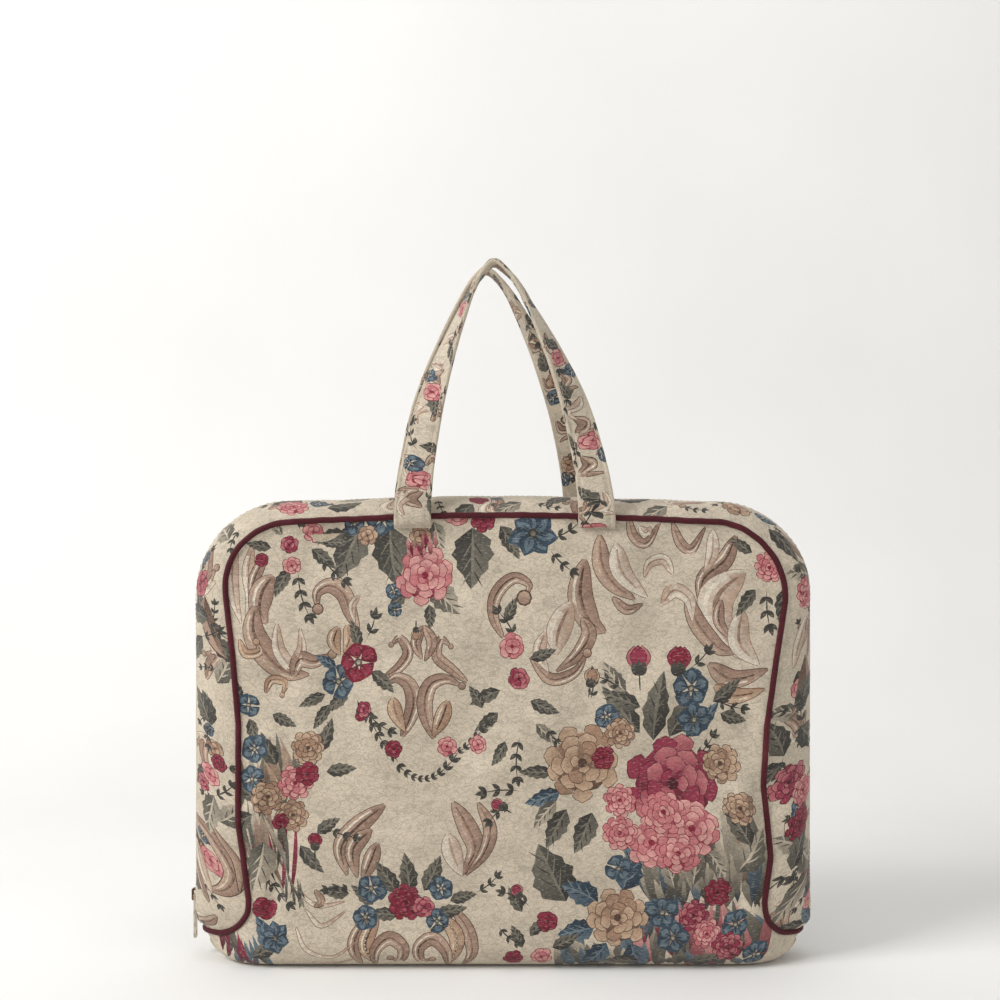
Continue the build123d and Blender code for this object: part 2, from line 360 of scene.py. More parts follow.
def swollen(place, swell, first, second):
    """Surface places moved out along the normal by a swell, and their unit normals."""
    fine = 0.002
    coarse = 0.01

    def moved(one, two):
        normals = unit_normals(place, one, two, fine * first, fine * second)
        return place(one, two) + normals * swell(one, two)[:, None]

    def surface(one, two):
        return moved(one, two), unit_normals(moved, one, two, coarse * first, coarse * second)

    return surface


# Gusset strips: between the seam and the zipper ridge, matched at the same bends
strip_seam = seam_route(-edge_tuck)
strip_ridge = ridge_route(0, -ridge_across)
low_match_share = 0.22
gusset_bulge_share = 0.17
hem_depth = 2.8
hem_drop = 0.95
hem_lean = 0.25
half_seam = [0, strip_seam.bends[1][1], *strip_seam.bends[2], strip_seam.length / 2]
first_ridge_bend = strip_ridge.bends[0]
half_ridge = [0, low_match_share * first_ridge_bend[0], *first_ridge_bend, strip_ridge.length / 2]
seam_marks = np.array(half_seam + [strip_seam.length - mark for mark in reversed(half_seam[:-1])])
ridge_marks = np.array(half_ridge + [strip_ridge.length - mark for mark in reversed(half_ridge[:-1])])
strip_length = strip_seam.length
strip_width = 34.0

# Wrinkles of a strip: ripples, puckers and pleats by place along the seam, width and depth
strip_ripples = ((1.0, 60, 11), (0.4, 18, 12))
strip_puckers = (0.5, 2.4, 50, 13)
strip_pucker_start = 0.08
strip_pucker_fade = 5
strip_pleats = ((40, 7, 1.4), (118, 12, 1.2), (205, 9, 1.0), (690, 10, 1.3), (778, 8, 1.6), (850, 9, 1.4))


def strip_place(along, share):
    """Places on a front gusset strip: length along the seam, and share of the way to the zipper."""
    seam = strip_seam.at(along)
    ridge_length = np.interp(along, seam_marks, ridge_marks)
    ridge = strip_ridge.at(ridge_length)
    chord = ridge - seam
    outward = unit(np.cross(strip_seam.along(along) + strip_ridge.along(ridge_length), chord))
    reach = np.linalg.norm(chord, axis=-1, keepdims=True)
    on = np.clip(share, 0, 1)[:, None]
    hem = np.clip(share - 1, 0, None)[:, None] * strip_width
    bow = 4 * on * (1 - on) * gusset_bulge_share * reach
    tuck = np.array([0, -hem_lean, 0]) * hem
    return swayed(seam + chord * on + outward * bow - outward * hem * hem_drop + tuck)


def strip_swell(along, share):
    """Wrinkles of a gusset strip."""
    on = np.clip(share, 0, 1)
    inside = 4 * on * (1 - on)
    across = share * strip_width
    total = ripples(along, across, strip_ripples)
    for middle, width, height in strip_pleats:
        total = total - height * np.exp(-(((along - middle) / width) ** 2))
    seam_folds = puckers(along, along, across, *strip_puckers) * np.exp(-on * strip_pucker_fade)
    return total * inside + seam_folds * smooth(on / strip_pucker_start)


# Handles: stations up a leg, as share out to the foot, share of the rise and share of the turn
foot_left = -58.0
foot_right = 60.0
foot_height = strap_low[2]
foot_tuck = 3.4
apex_across = -6.0
apex_depth = 13.2
back_handle_shift = -6.0
strap_width = 24.0
strap_front = strap_low[1] + strap_thickness / 2
leg_shares = (
    (1.0, 0.0, 0.0),
    (1.0, 0.04, 0.0),
    (0.985, 0.12, 0.02),
    (0.93, 0.25, 0.1),
    (0.8, 0.45, 0.35),
    (0.62, 0.63, 0.6),
    (0.42, 0.79, 0.8),
    (0.23, 0.92, 0.95),
    (0.08, 0.985, 1.0),
)
foot_drift_share = 0.1


def strap_station(foot, out, rise, turn):
    """Middle of the strap and its turn at one station of a leg."""
    lean = max(rise - foot_drift_share, 0)
    tucked = foot_tuck if rise == 0 else 0
    depth = strap_front + tucked - (apex_depth + strap_front) * lean
    height = foot_height + (handle_top - foot_height) * rise
    return (apex_across + (foot - apex_across) * out, depth, height, turn * math.pi / 2)


left_stations = [strap_station(foot_left, *shares) for shares in leg_shares]
right_stations = [strap_station(foot_right, *shares) for shares in leg_shares]
strap_stations = np.array([*left_stations, strap_station(apex_across, 0, 1, 1), *reversed(right_stations)])


def even_line(stations, count):
    """A smooth line through every station, evenly spaced along its length, and that length."""
    ends = np.concatenate([stations[:1], stations, stations[-1:]])
    place = np.linspace(0, len(stations) - 1 - 1e-6, count * 4)
    first = place.astype(int)
    share = (place - first)[:, None]
    a, b, c, d = (ends[first + step] for step in range(4))
    line = b + 0.5 * share * (c - a + share * (2 * a - 5 * b + 4 * c - d + share * (3 * (b - c) + d - a)))
    marks = np.concatenate([[0], np.cumsum(np.linalg.norm(np.diff(line[:, :3], axis=0), axis=1))])
    even = np.linspace(0, marks[-1], count)
    return read_line(even, marks, line), marks[-1]


strap_line, strap_length = even_line(strap_stations, 400)
strap_marks = np.linspace(0, strap_length, len(strap_line))
strap_girth = 2 * (strap_width + strap_thickness) - strap_thickness
stitch_inset = 3.0
stitch_groove = 1.1
stitch_pinch = 0.28
strap_edge_power = 0.62
strap_face_power = 0.5
strap_narrowing = 0.12
strap_narrow_length = 60
strap_end_length = 3
strap_end_share = 0.05
strap_flat_from = 5
strap_ripples = ((0.35, 26, 21),)
strap_pleat_height = 0.3
strap_pleat_pitch = 3.1
strap_pleat_slant = 5


def strap_frame(length):
    """Middle, width direction and thickness direction of the strap at lengths along it."""
    place = read_line(length, strap_marks, strap_line)
    step = strap_length / 150
    middles = strap_line[:, :3]
    ahead = read_line(length + step, strap_marks, middles)
    along = unit(ahead - read_line(length - step, strap_marks, middles))
    inward = unit(np.stack([along[:, 2], 0 * along[:, 0], -along[:, 0]], axis=-1))
    turn = place[:, 3:4]
    wide = inward * np.cos(turn) - np.array([0, 1, 0]) * np.sin(turn)
    return place[:, :3], wide, unit(np.cross(wide, along))


def strap_section(girth):
    """Across and out from the strap's middle, for lengths round its girth; 0 is an edge."""
    angle = girth / strap_girth * TAU
    side = np.cos(angle)
    over = np.sin(angle)
    across = strap_width / 2 * np.sign(side) * np.abs(side) ** strap_edge_power
    from_edge = strap_width / 2 - np.abs(across)
    pinch = 1 - stitch_pinch * np.exp(-(((from_edge - stitch_inset) / stitch_groove) ** 2))
    out = strap_thickness / 2 * np.sign(over) * np.abs(over) ** strap_face_power * pinch
    return across, out


def strap_place(girth, length):
    """Places on the front strap."""
    middle, wide, thick = strap_frame(length)
    across, out = strap_section(girth)
    from_end = np.minimum(length, strap_length - length)
    narrow = 1 - strap_narrowing * smooth(from_end / strap_narrow_length)
    closing = smooth(from_end / strap_end_length + strap_end_share)
    return middle + wide * (across * narrow)[:, None] + thick * (out * closing)[:, None]


def strap_swell(girth, length):
    """Wrinkles of a strap."""
    across = strap_section(girth)[0]
    flat = smooth((strap_width / 2 - np.abs(across)) / strap_flat_from)
    pleats = strap_pleat_height * np.sin(length / strap_pleat_pitch + across / strap_pleat_slant)
    return (ripples(girth, length, strap_ripples) + pleats) * flat


def linear(red, green, blue):
    """Linear colour of one that is written as red, green and blue from 0 to 255."""
    return tuple(((part / 255 + 0.055) / 1.055) ** 2.4 for part in (red, green, blue))


# Colours of the tapestry
cream = linear(195, 182, 162)
cream_light = linear(212, 201, 183)
cream_shade = linear(184, 171, 151)
tan = linear(137, 109, 93)
tan_light = linear(175, 149, 129)
brown = linear(80, 58, 47)
burgundy = linear(124, 28, 48)
burgundy_dark = linear(74, 18, 30)
magenta = linear(140, 48, 69)
pink = linear(186, 113, 115)
pink_light = linear(208, 157, 148)
leaf_green = linear(76, 73, 65)
leaf_dark = linear(50, 47, 43)
leaf_light = linear(116, 110, 97)
blue = linear(58, 76, 89)
blue_light = linear(104, 119, 127)
blue_dark = linear(38, 47, 59)
dusty = linear(155, 123, 100)
dusty_light = linear(189, 161, 134)

# Tones of each kind of flower or ornament, from its shaded to its lit side
tones = {
    "burgundy": (burgundy_dark, burgundy, magenta),
    "magenta": (burgundy_dark, magenta, pink),
    "pink": (burgundy, pink, pink_light),
    "dusty": (brown, dusty, dusty_light),
    "tan": (brown, tan, tan_light),
    "pale": (tan, tan_light, cream_light),
    "blue": (blue_dark, blue, blue_light),
    "leaf": (leaf_dark, leaf_green, leaf_light),
    "grey": (leaf_green, leaf_light, cream_shade),
}


def flowing(places, steps=5):
    """A smooth path through a few places."""
    ends = [2 * places[0] - places[1], *places, 2 * places[-1] - places[-2]]
    path = [places[0]]
    for before, start, end, after in zip(ends, ends[1:], ends[2:], ends[3:]):
        for step in range(1, steps + 1):
            share = step / steps
            bow = 2 * before - 5 * start + 4 * end - after
            twist = 3 * (start - end) + after - before
            path.append(start + share / 2 * (end - before + share * (bow + share * twist)))
    return path


def forward(left, right, spot):
    """Whether a band's next short piece has both its edges running forwards."""
    to_right = right[spot] - left[spot]
    over = right[spot + 1] - left[spot]
    ahead = left[spot + 1] - left[spot]
    smallest = 1e-4
    return (to_right.conjugate() * over).imag > smallest and (over.conjugate() * ahead).imag > smallest


class Print:
    """Coloured shapes on flat cloth, in millimetres, each on top of those before it."""

    def __init__(self, seed, plain=False):
        self.shapes = []
        self.chance = random.Random(seed)
        self.plain = plain

    def shape(self, points, near, far, start, end):
        """One outline, shaded from near at start to far at end."""
        pairs = zip(points, points[1:] + points[:1])
        turning = sum((one.conjugate() * two).imag for one, two in pairs)
        outline = points if turning > 0 else points[::-1]
        self.shapes.append((outline, near, far, start, end))

    def spot(self, middle, radius, near, far, count):
        """A round spot, shaded from its foot to its head."""
        points = [middle + cmath.rect(radius, TAU * step / count) for step in range(count)]
        self.shape(points, near, far, middle - 1j * radius, middle + 1j * radius)

    def blade(self, root, heading, length, width, bend, near, far, fullness=0.8, steps=6, ragged=0.0):
        """A leaf, petal or lobe that grows from its root and bends on its way."""
        spine = [root]
        left = []
        right = []
        for step in range(1, steps + 1):
            heading += bend / steps
            spine.append(spine[-1] + cmath.rect(length / steps, heading))
            half = width / 2 * math.sin(math.pi * (step / steps) ** fullness)
            half *= 1 - ragged * (step % 2)
            side = cmath.rect(half, heading + math.pi / 2)
            left.append(spine[-1] + side)
            right.append(spine[-1] - side)
        outline = [root, *left[:-1], spine[-1], *reversed(right[:-1])]
        self.shape(outline, near, far, root, spine[-1])
        return spine, left

    def petal(self, root, heading, length, width, bend, dark, near, far):
        """A broad petal with a thin dark rim."""
        rim = 0.45
        if not self.plain:
            self.blade(root, heading, length, width, bend, dark, dark, 1.5, 6)
        inner = max(width - 2 * rim, width * 0.6)
        self.blade(root, heading, max(length - rim, length * 0.8), inner, bend, near, far, 1.5, 6)

    def leaf(self, root, heading, length, width, bend=0.3, kind="leaf"):
        """A ragged two-toned leaf with a pale midrib and veins."""
        dark, middle, light = tones[kind]
        spine, left = self.blade(root, heading, length, width, bend, dark, middle, 0.75, 9, 0.2)
        self.shape([*spine, *reversed(left[:-1])], middle, light, spine[0], spine[-1])
        if length > 14 and not self.plain:
            for share in (2, 4, 6):
                way = heading + bend * share / 9
                for side in (-1, 1):
                    tint = light if side < 0 else dark
                    self.blade(spine[share], way + side * 0.55, width * 0.5, 0.9, 0, tint, tint, 0.8, 4)
        self.blade(root, heading, length * 0.92, max(0.05 * length, 0.6), bend * 0.92, light, light, 1.0)

    def leaf_pair(self, root, heading, size, spread, curl):
        """Two small leaves, one to each side of a stem."""
        dark, middle, light = tones["leaf"]
        for side in (-1, 1):
            self.blade(root, heading + side * spread, size, size * 0.46, -side * curl, dark, middle, 0.9, 5)

    def sprig(self, root, heading, length, pairs):
        """A thin stem with pairs of small leaves and one at its tip."""
        dark, middle, light = tones["leaf"]
        bend = 0.5
        stem = self.blade(root, heading, length, 0.9, bend, dark, dark, 0.9, 2 * pairs)[0]
        size = length * 0.95 / (pairs + 0.6)
        for pair in range(pairs):
            way = heading + bend * (2 * pair + 1) / (2 * pairs)
            self.leaf_pair(stem[2 * pair + 1], way, size, 0.85, 0.3)
        self.blade(stem[-2], heading + bend, size * 1.2, size * 0.48, 0, dark, middle, 0.9, 5)

    def rose(self, middle, radius, kind):
        """A full flower of rings of broad petals, deep at the heart and pale at the rims."""
        dark, mid, light = tones[kind]
        turn = self.chance.uniform(0, TAU)
        small = ((6, 0.3, 0.66, 0.86), (4, 0.08, 0.52, 0.7))
        large = ((9, 0.5, 0.52, 0.56), (7, 0.32, 0.5, 0.54), (6, 0.16, 0.42, 0.48), (3, 0.02, 0.3, 0.34))
        self.spot(middle, radius * 0.8, dark, mid, 12)
        for ring, (count, reach, size, wide) in enumerate(large if radius > 9 else small):
            for petal in range(count):
                angle = turn + ring * 0.5 + TAU * petal / count + self.chance.uniform(-0.16, 0.16)
                root = middle + cmath.rect(1, angle) * radius * reach
                long = radius * size * self.chance.uniform(0.88, 1.12)
                bend = self.chance.uniform(-0.5, 0.5)
                rim = light if self.chance.random() < 0.6 else mid
                self.petal(root, angle, long, radius * wide, bend, dark, mid, rim)
        self.spot(middle, radius * 0.13, dark, dark, 7)

    def blossom(self, middle, radius, petals=5, kind="blue", heart="grey", fullness=1.6):
        """An open flower with a few petals round a spotted heart; a low fullness points them."""
        dark, mid, light = tones[kind]
        turn = self.chance.uniform(0, TAU)
        for petal in range(petals):
            angle = turn + TAU * petal / petals + self.chance.uniform(-0.15, 0.15)
            root = middle + cmath.rect(radius * 0.08, angle)
            wide = radius * 1.9 * math.sin(math.pi / petals)
            long = radius * self.chance.uniform(0.85, 1.1)
            self.blade(root, angle, long, wide, 0.2, dark, mid, fullness, 7)
            self.blade(root, angle + 0.05, long * 0.86, wide * 0.5, 0.2, mid, light, fullness, 6)
            if not self.plain:
                self.blade(root, angle, long * 0.6, 0.9, 0.1, dark, dark, 1.0, 4)
        heart_dark, heart_mid, heart_light = tones[heart]
        self.spot(middle, radius * 0.22, heart_dark, heart_dark, 8)
        self.spot(middle, radius * 0.12, heart_light, heart_mid, 6)

    def bud(self, root, heading, length, kind):
        """A closed flower on a short stem with sepals."""
        dark, mid, light = tones[kind]
        shade, green = tones["leaf"][:2]
        self.blade(root, heading, length * 0.5, 1.0, 0, shade, shade)
        start = root + cmath.rect(length * 0.35, heading)
        for lean in (-0.35, 0.35, 0.0):
            tip = light if lean else mid
            self.petal(start, heading + lean, length * 0.65, length * 0.38, -lean, dark, mid, tip)
        for lean in (-0.8, 0.0, 0.8):
            self.blade(start, heading + lean, length * 0.34, length * 0.18, -lean, shade, green)

    def ribbon(self, path, ways, halves, near, far):
        """A band along a path, in short runs so that it may curl; runs that fold over end early."""
        run = 2
        sides = [cmath.rect(half, way + math.pi / 2) for half, way in zip(halves, ways)]
        left = [spot + side for spot, side in zip(path, sides)]
        right = [spot - side for spot, side in zip(path, sides)]
        for first in range(0, len(path) - 1, run):
            last = first
            while last < min(first + run, len(path) - 1) and forward(left, right, last):
                last += 1
            if last > first:
                outline = [*left[first:last + 1], *reversed(right[first:last + 1])]
                self.shape(outline, near, far, left[first], right[first])

    def stroke(self, root, heading, length, width, bend):
        """One acanthus lobe: a bent leaf with a thin outline, a lit half and a vein."""
        dark, mid, light = tones["tan"]
        rim = min(0.45, width * 0.12)
        self.blade(root, heading, length, width, bend, dark, dark, 0.8, 10)
        spine, left = self.blade(root, heading, length * 0.97, width - 2 * rim, bend, dark, mid, 0.8, 10)
        half = left if bend < 0 else [2 * middle - side for middle, side in zip(spine[1:], left)]
        self.shape([*spine, *reversed(half[:-1])], mid, light, spine[0], spine[-1])
        vein = max(0.08 * width, 0.5)
        self.blade(root, heading + 0.04, length * 0.8, vein, bend * 0.8, dark, dark, 0.9, 7)

    def band(self, places, width, kind="tan", ball=0.0):
        """A band of a scroll through a few places, tapered, lit on one side, or ending in a ball."""
        dark, mid, light = tones[kind]
        path = flowing(places)
        last = len(path) - 1
        ways = []
        halves = []
        for spot in range(last + 1):
            ways.append(cmath.phase(path[min(spot + 1, last)] - path[max(spot - 1, 0)]))
            full = math.sin(math.pi * (0.01 + 0.98 * spot / last) ** 0.8)
            halves.append(width / 2 * full**0.8)
        self.ribbon(path, ways, [half + min(0.5, 0.2 * width) for half in halves], dark, dark)
        self.ribbon(path, ways, halves, mid, light)
        if width > 4 and not self.plain:
            self.ribbon(path[1:-2], ways[1:-2], [half * 0.14 for half in halves[1:-2]], dark, mid)
            lit = zip(path, ways, halves)
            sides = [spot + cmath.rect(half * 0.55, way - 1.6) for spot, way, half in lit]
            self.ribbon(sides[2:-3], ways[2:-3], [half * 0.12 for half in halves[2:-3]], cream_light, light)
        if ball:
            self.spot(path[-1], ball, dark, dark, 9)
            self.spot(path[-1], ball * 0.8, mid, light, 8)

    def garland(self, start, end, sag, leaves):
        """A hanging chain of small leaves on a thin stem."""
        dark = tones["leaf"][0]
        chain = []
        for leaf in range(leaves + 1):
            share = leaf / leaves
            chain.append(start + (end - start) * share - 1j * sag * 4 * share * (1 - share))
        for leaf in range(leaves):
            gap, way = cmath.polar(chain[leaf + 1] - chain[leaf])
            self.blade(chain[leaf], way, gap * 1.1, 0.8, 0, dark, dark, 0.9, 4)
            self.leaf_pair(chain[leaf], way, gap * 0.95, 0.8, 0.4)

    def beads(self, places, size):
        """A row of small round beads along a smooth path."""
        dark, mid, light = tones["tan"]
        for place in flowing(places):
            self.spot(place, size, dark, dark, 7)
            self.spot(place, size * 0.7, light, cream_light, 6)

    def sheaf(self, foot, wide, tall, count, kinds):
        """A brush of upright streaks in mixed tones."""
        for streak in range(count // 2 if self.plain else count):
            dark, mid, light = tones[kinds[streak % len(kinds)]]
            root = foot + complex(wide * (self.chance.random() - 0.5), tall * self.chance.uniform(0, 0.35))
            lean = math.pi / 2 + self.chance.uniform(-0.3, 0.3)
            long = tall * self.chance.uniform(0.35, 0.7)
            self.blade(root, lean, long, wide * 0.11, 0.3, dark, light, 0.9)


def turned_over(shapes):
    """Shapes turned half round the middle of the base, from the front of the panel to its back."""
    result = []
    for points, near, far, start, end in shapes:
        spots = [2j * cloth_middle - spot for spot in (*points, start, end)]
        result.append((spots[:-2], near, far, *spots[-2:]))
    return result


def triangulated(verts, edges, faces):
    """Flat corners and triangles cut along edges and faces, and the faces that each lies in."""
    merging = 1e-5
    found = delaunay_2d_cdt(verts, edges, faces, 0, merging, True)
    return np.array(found[0]), np.array(found[2]), found[5]


def layered(shapes):
    """Flat triangles of all the shapes' pieces, with the top shape of each."""
    verts = []
    faces = []
    for outline in (shape[0] for shape in shapes):
        faces.append(list(range(len(verts), len(verts) + len(outline))))
        verts.extend((point.real, point.imag) for point in outline)
    flat, tris, below = triangulated(verts, [], faces)
    return flat, tris, np.array([max(found) if found else -1 for found in below])


def shown_edges(tris, top):
    """Edges between triangles that have different top shapes."""
    sides = np.sort(np.concatenate([tris[:, [0, 1]], tris[:, [1, 2]], tris[:, [2, 0]]]), axis=1)
    owner = np.tile(np.arange(len(tris)), 3)
    order = np.lexsort((sides[:, 1], sides[:, 0]))
    sides = sides[order]
    owner = owner[order]
    twins = np.nonzero((sides[1:] == sides[:-1]).all(axis=1))[0]
    return sides[twins[top[owner[twins]] != top[owner[twins + 1]]]]


def cut_cloth(shapes, low, high, pitch):
    """Flat triangles of a rectangle of cloth, cut along the print, with the top shape of each."""
    drawn, drawn_tris, drawn_top = layered(shapes)
    shown = shown_edges(drawn_tris, drawn_top)
    kept, ends = np.unique(shown, return_inverse=True)
    columns = round((high.real - low.real) / pitch) + 1
    rows = round((high.imag - low.imag) / pitch) + 1
    xs = np.linspace(low.real, high.real, columns)
    ys = np.linspace(low.imag, high.imag, rows)
    verts = [(x, y) for y in ys for x in xs]
    last = columns * rows - 1
    corners = (0, columns - 1, last, last - columns + 1)
    edges = [(corners[side - 1], corners[side]) for side in range(4)]
    edges.extend((ends.reshape(shown.shape) + len(verts)).tolist())
    verts.extend(drawn[kept].tolist())
    flat, tris = triangulated(verts, edges, [])[:2]
    middle = flat[tris].mean(axis=1)
    inside = (middle[:, 0] > low.real) & (middle[:, 0] < high.real)
    inside &= (middle[:, 1] > low.imag) & (middle[:, 1] < high.imag)
    tris = tris[inside]
    level = [(x, y, 0) for x, y in drawn.tolist()]
    finder = BVHTree.FromPolygons(level, drawn_tris.tolist(), all_triangles=True)
    top = []
    for x, y in middle[inside].tolist():
        found = finder.ray_cast((x, y, 1), (0, 0, -1))[2]
        top.append(-1 if found is None else drawn_top[found])
    used, index = np.unique(tris, return_inverse=True)
    return flat[used], index.reshape(tris.shape), np.array(top)


def corner_colours(flat, tris, top, shapes):
    """Print colour at every corner of the flat triangles; the ground is the last of the shapes."""
    layers = [*shapes, ((), cream, cream, 0j, 1 + 1j)]
    near, far = (np.array([layer[part] for layer in layers]) for part in (1, 2))
    start, end = (np.array([(layer[part].real, layer[part].imag) for layer in layers]) for part in (3, 4))
    run = end - start
    places = flat[tris] - start[top][:, None]
    share = (places * run[top][:, None]).sum(axis=2) / np.maximum((run**2).sum(axis=1)[top][:, None], 1e-9)
    share = np.clip(share, 0, 1)[:, :, None]
    return near[top][:, None] * (1 - share) + far[top][:, None] * share


def placed(name, data):
    """A new object of the scene that holds a mesh, a lamp or a camera."""
    holder = bpy.data.objects.new(name, data)
    bpy.context.scene.collection.objects.link(holder)
    return holder


def new_piece(name, points, faces, material, normals=None):
    """A mesh piece that rides on the bag, from points in millimetres."""
    mesh = bpy.data.meshes.new(name)
    mesh.from_pydata((np.array(points) * MM).tolist(), [], faces)
    mesh.shade_smooth()
    if normals is not None:
        mesh.normals_split_custom_set_from_vertices(normals.tolist())
    piece = placed(name, mesh)
    mesh.materials.append(material)
    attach(piece, "bag")
    return piece


def facing_out(points, tris, normals):
    """Triangles and normals turned so that both face away from the middle of the bag."""
    one, two, three = (points[tris[:, corner]] - bag_middle for corner in range(3))
    if (np.cross(one, two) * three).sum() < 0:
        tris = tris[:, ::-1]
        one, three = three, one
    faces = np.cross(two - one, three - one)
    if (faces[:, None] * normals[tris]).sum() < 0:
        normals = -normals
    return tris, normals


def printed_piece(name, surface, to_parameters, shapes, low, high, pitch):
    """A cloth piece whose mesh is cut along its print and then laid on a surface."""
    flat, tris, top = cut_cloth(shapes, low, high, pitch)
    points, normals = surface(*to_parameters(flat))
    tris, normals = facing_out(points, tris, normals)
    colours = corner_colours(flat, tris, top, shapes)
    piece = new_piece(name, points, tris.tolist(), tapestry, normals)
    mesh = piece.data
    paint = mesh.color_attributes.new("print", "FLOAT_COLOR", "CORNER")
    rgba = np.concatenate([colours.reshape(-1, 3), np.ones((colours.size // 3, 1))], axis=1)
    paint.data.foreach_set("color", rgba.astype(np.float32).ravel())
    thread = mesh.uv_layers.new(name="thread")
    thread.data.foreach_set("uv", (flat[tris].reshape(-1, 2) * MM).astype(np.float32).ravel())
    return piece


class Nodes:
    """Short ways to build one material's node tree."""

    def __init__(self, name):
        self.material = bpy.data.materials.new(name)
        self.material.use_nodes = True
        self.tree = self.material.node_tree
        self.shader = self.tree.nodes["Principled BSDF"]

    def add(self, kind, **settings):
        """A new node with its properties set."""
        node = self.tree.nodes.new(kind)
        for key, value in settings.items():
            setattr(node, key, value)
        return node

    def link(self, output, socket):
        """Join two sockets."""
        self.tree.links.new(output, socket)

    def math(self, operation, one, two):
        """One arithmetic step; each value is a number or a socket."""
        node = self.add("ShaderNodeMath", operation=operation)
        for socket, value in zip(node.inputs, (one, two)):
            if isinstance(value, (int, float)):
                socket.default_value = value
            else:
                self.link(value, socket)
        return node.outputs[0]

    def mix(self, share, one, two, blend="MIX"):
        """A colour mix; each value is a colour, a number or a socket."""
        node = self.add("ShaderNodeMix", data_type="RGBA", blend_type=blend)
        for socket, value in ((node.inputs[0], share), (node.inputs[6], one), (node.inputs[7], two)):
            if isinstance(value, (int, float)):
                socket.default_value = value
            elif isinstance(value, tuple):
                socket.default_value = (*value, 1)
            else:
                self.link(value, socket)
        return node.outputs[2]

    def noise(self, vector, scale, detail=2.0, output="Fac"):
        """A soft noise read along a vector, as one value or as one for each axis."""
        node = self.add("ShaderNodeTexNoise")
        node.inputs["Scale"].default_value = scale
        node.inputs["Detail"].default_value = detail
        self.link(vector, node.inputs["Vector"])
        return node.outputs[output]

    def stretched(self, vector, scale):
        """A vector scaled along each axis."""
        node = self.add("ShaderNodeMapping")
        node.inputs["Scale"].default_value = scale
        self.link(vector, node.inputs["Vector"])
        return node.outputs[0]

    def span(self, value, low, high, to_low, to_high):
        """A value carried from one range to another."""
        node = self.add("ShaderNodeMapRange")
        self.link(value, node.inputs[0])
        for socket, number in zip(node.inputs[1:5], (low, high, to_low, to_high)):
            socket.default_value = number
        return node.outputs[0]

    def bump(self, height, strength, distance):
        """Surface relief from a height."""
        node = self.add("ShaderNodeBump")
        node.inputs["Strength"].default_value = strength
        node.inputs["Distance"].default_value = distance
        self.link(height, node.inputs["Height"])
        self.link(node.outputs[0], self.shader.inputs["Normal"])


def tapestry_material():
    """Jacquard cloth: the print, broken up by slubby threads and a diagonal rib."""
    nodes = Nodes("tapestry_cloth")
    paint = nodes.add("ShaderNodeAttribute", attribute_name="print").outputs["Color"]
    thread = nodes.add("ShaderNodeUVMap", uv_map="thread").outputs[0]
    weft = nodes.noise(nodes.stretched(thread, (900, 2600, 1)), 1.0, 1.0)
    warp = nodes.noise(nodes.stretched(thread, (2600, 900, 1)), 1.0, 1.0)
    cloudy = nodes.noise(thread, 28.0, 3.0)
    rib = nodes.add("ShaderNodeTexWave", wave_type="BANDS", bands_direction="DIAGONAL")
    rib.inputs["Scale"].default_value = 460.0
    rib.inputs["Distortion"].default_value = 1.5
    rib.inputs["Detail Scale"].default_value = 200.0
    nodes.link(thread, rib.inputs["Vector"])
    grain = nodes.math("ADD", nodes.span(weft, 0.3, 0.7, -0.5, 0.5), nodes.span(warp, 0.3, 0.7, -0.5, 0.5))
    light = nodes.span(grain, -1.0, 1.0, 0.74, 1.2)
    ribbed = nodes.math("MULTIPLY", light, nodes.span(rib.outputs["Fac"], 0, 1, 0.95, 1.04))
    wander = nodes.add("ShaderNodeVectorMath", operation="MULTIPLY_ADD")
    nodes.link(nodes.noise(thread, 260.0, output="Color"), wander.inputs[0])
    wander.inputs[1].default_value = (0.008, 0.008, 0)
    nodes.link(thread, wander.inputs[2])
    crackle = nodes.add("ShaderNodeTexVoronoi", feature="DISTANCE_TO_EDGE")
    crackle.inputs["Scale"].default_value = 300.0
    nodes.link(wander.outputs[0], crackle.inputs["Vector"])
    lined = nodes.math("MULTIPLY", ribbed, nodes.span(crackle.outputs["Distance"], 0.0, 0.11, 0.78, 1.04))
    figure = nodes.span(nodes.noise(thread, 70.0, 1.0), 0.48, 0.52, 0.965, 1.035)
    figured = nodes.math("MULTIPLY", lined, figure)
    clouded = nodes.math("MULTIPLY", figured, nodes.span(cloudy, 0.3, 0.7, 0.94, 1.05))
    shade = nodes.add("ShaderNodeCombineColor")
    for socket in shade.inputs[:3]:
        nodes.link(clouded, socket)
    speck = nodes.span(nodes.noise(nodes.stretched(thread, (700, 1100, 1)), 1.0, 0.0), 0.6, 0.72, 0.0, 0.16)
    specked = nodes.mix(speck, paint, cream_light)
    nodes.link(nodes.mix(1.0, specked, shade.outputs[0], "MULTIPLY"), nodes.shader.inputs["Base Color"])
    relief = nodes.math("ADD", grain, nodes.math("MULTIPLY", rib.outputs["Fac"], 0.6))
    nodes.bump(relief, 0.4, 0.0002)
    nodes.link(nodes.span(warp, 0.3, 0.7, 0.62, 0.86), nodes.shader.inputs["Roughness"])
    nodes.shader.inputs["Sheen Weight"].default_value = 0.12
    nodes.shader.inputs["Sheen Roughness"].default_value = 0.5
    nodes.shader.inputs["Specular IOR Level"].default_value = 0.3
    return nodes.material


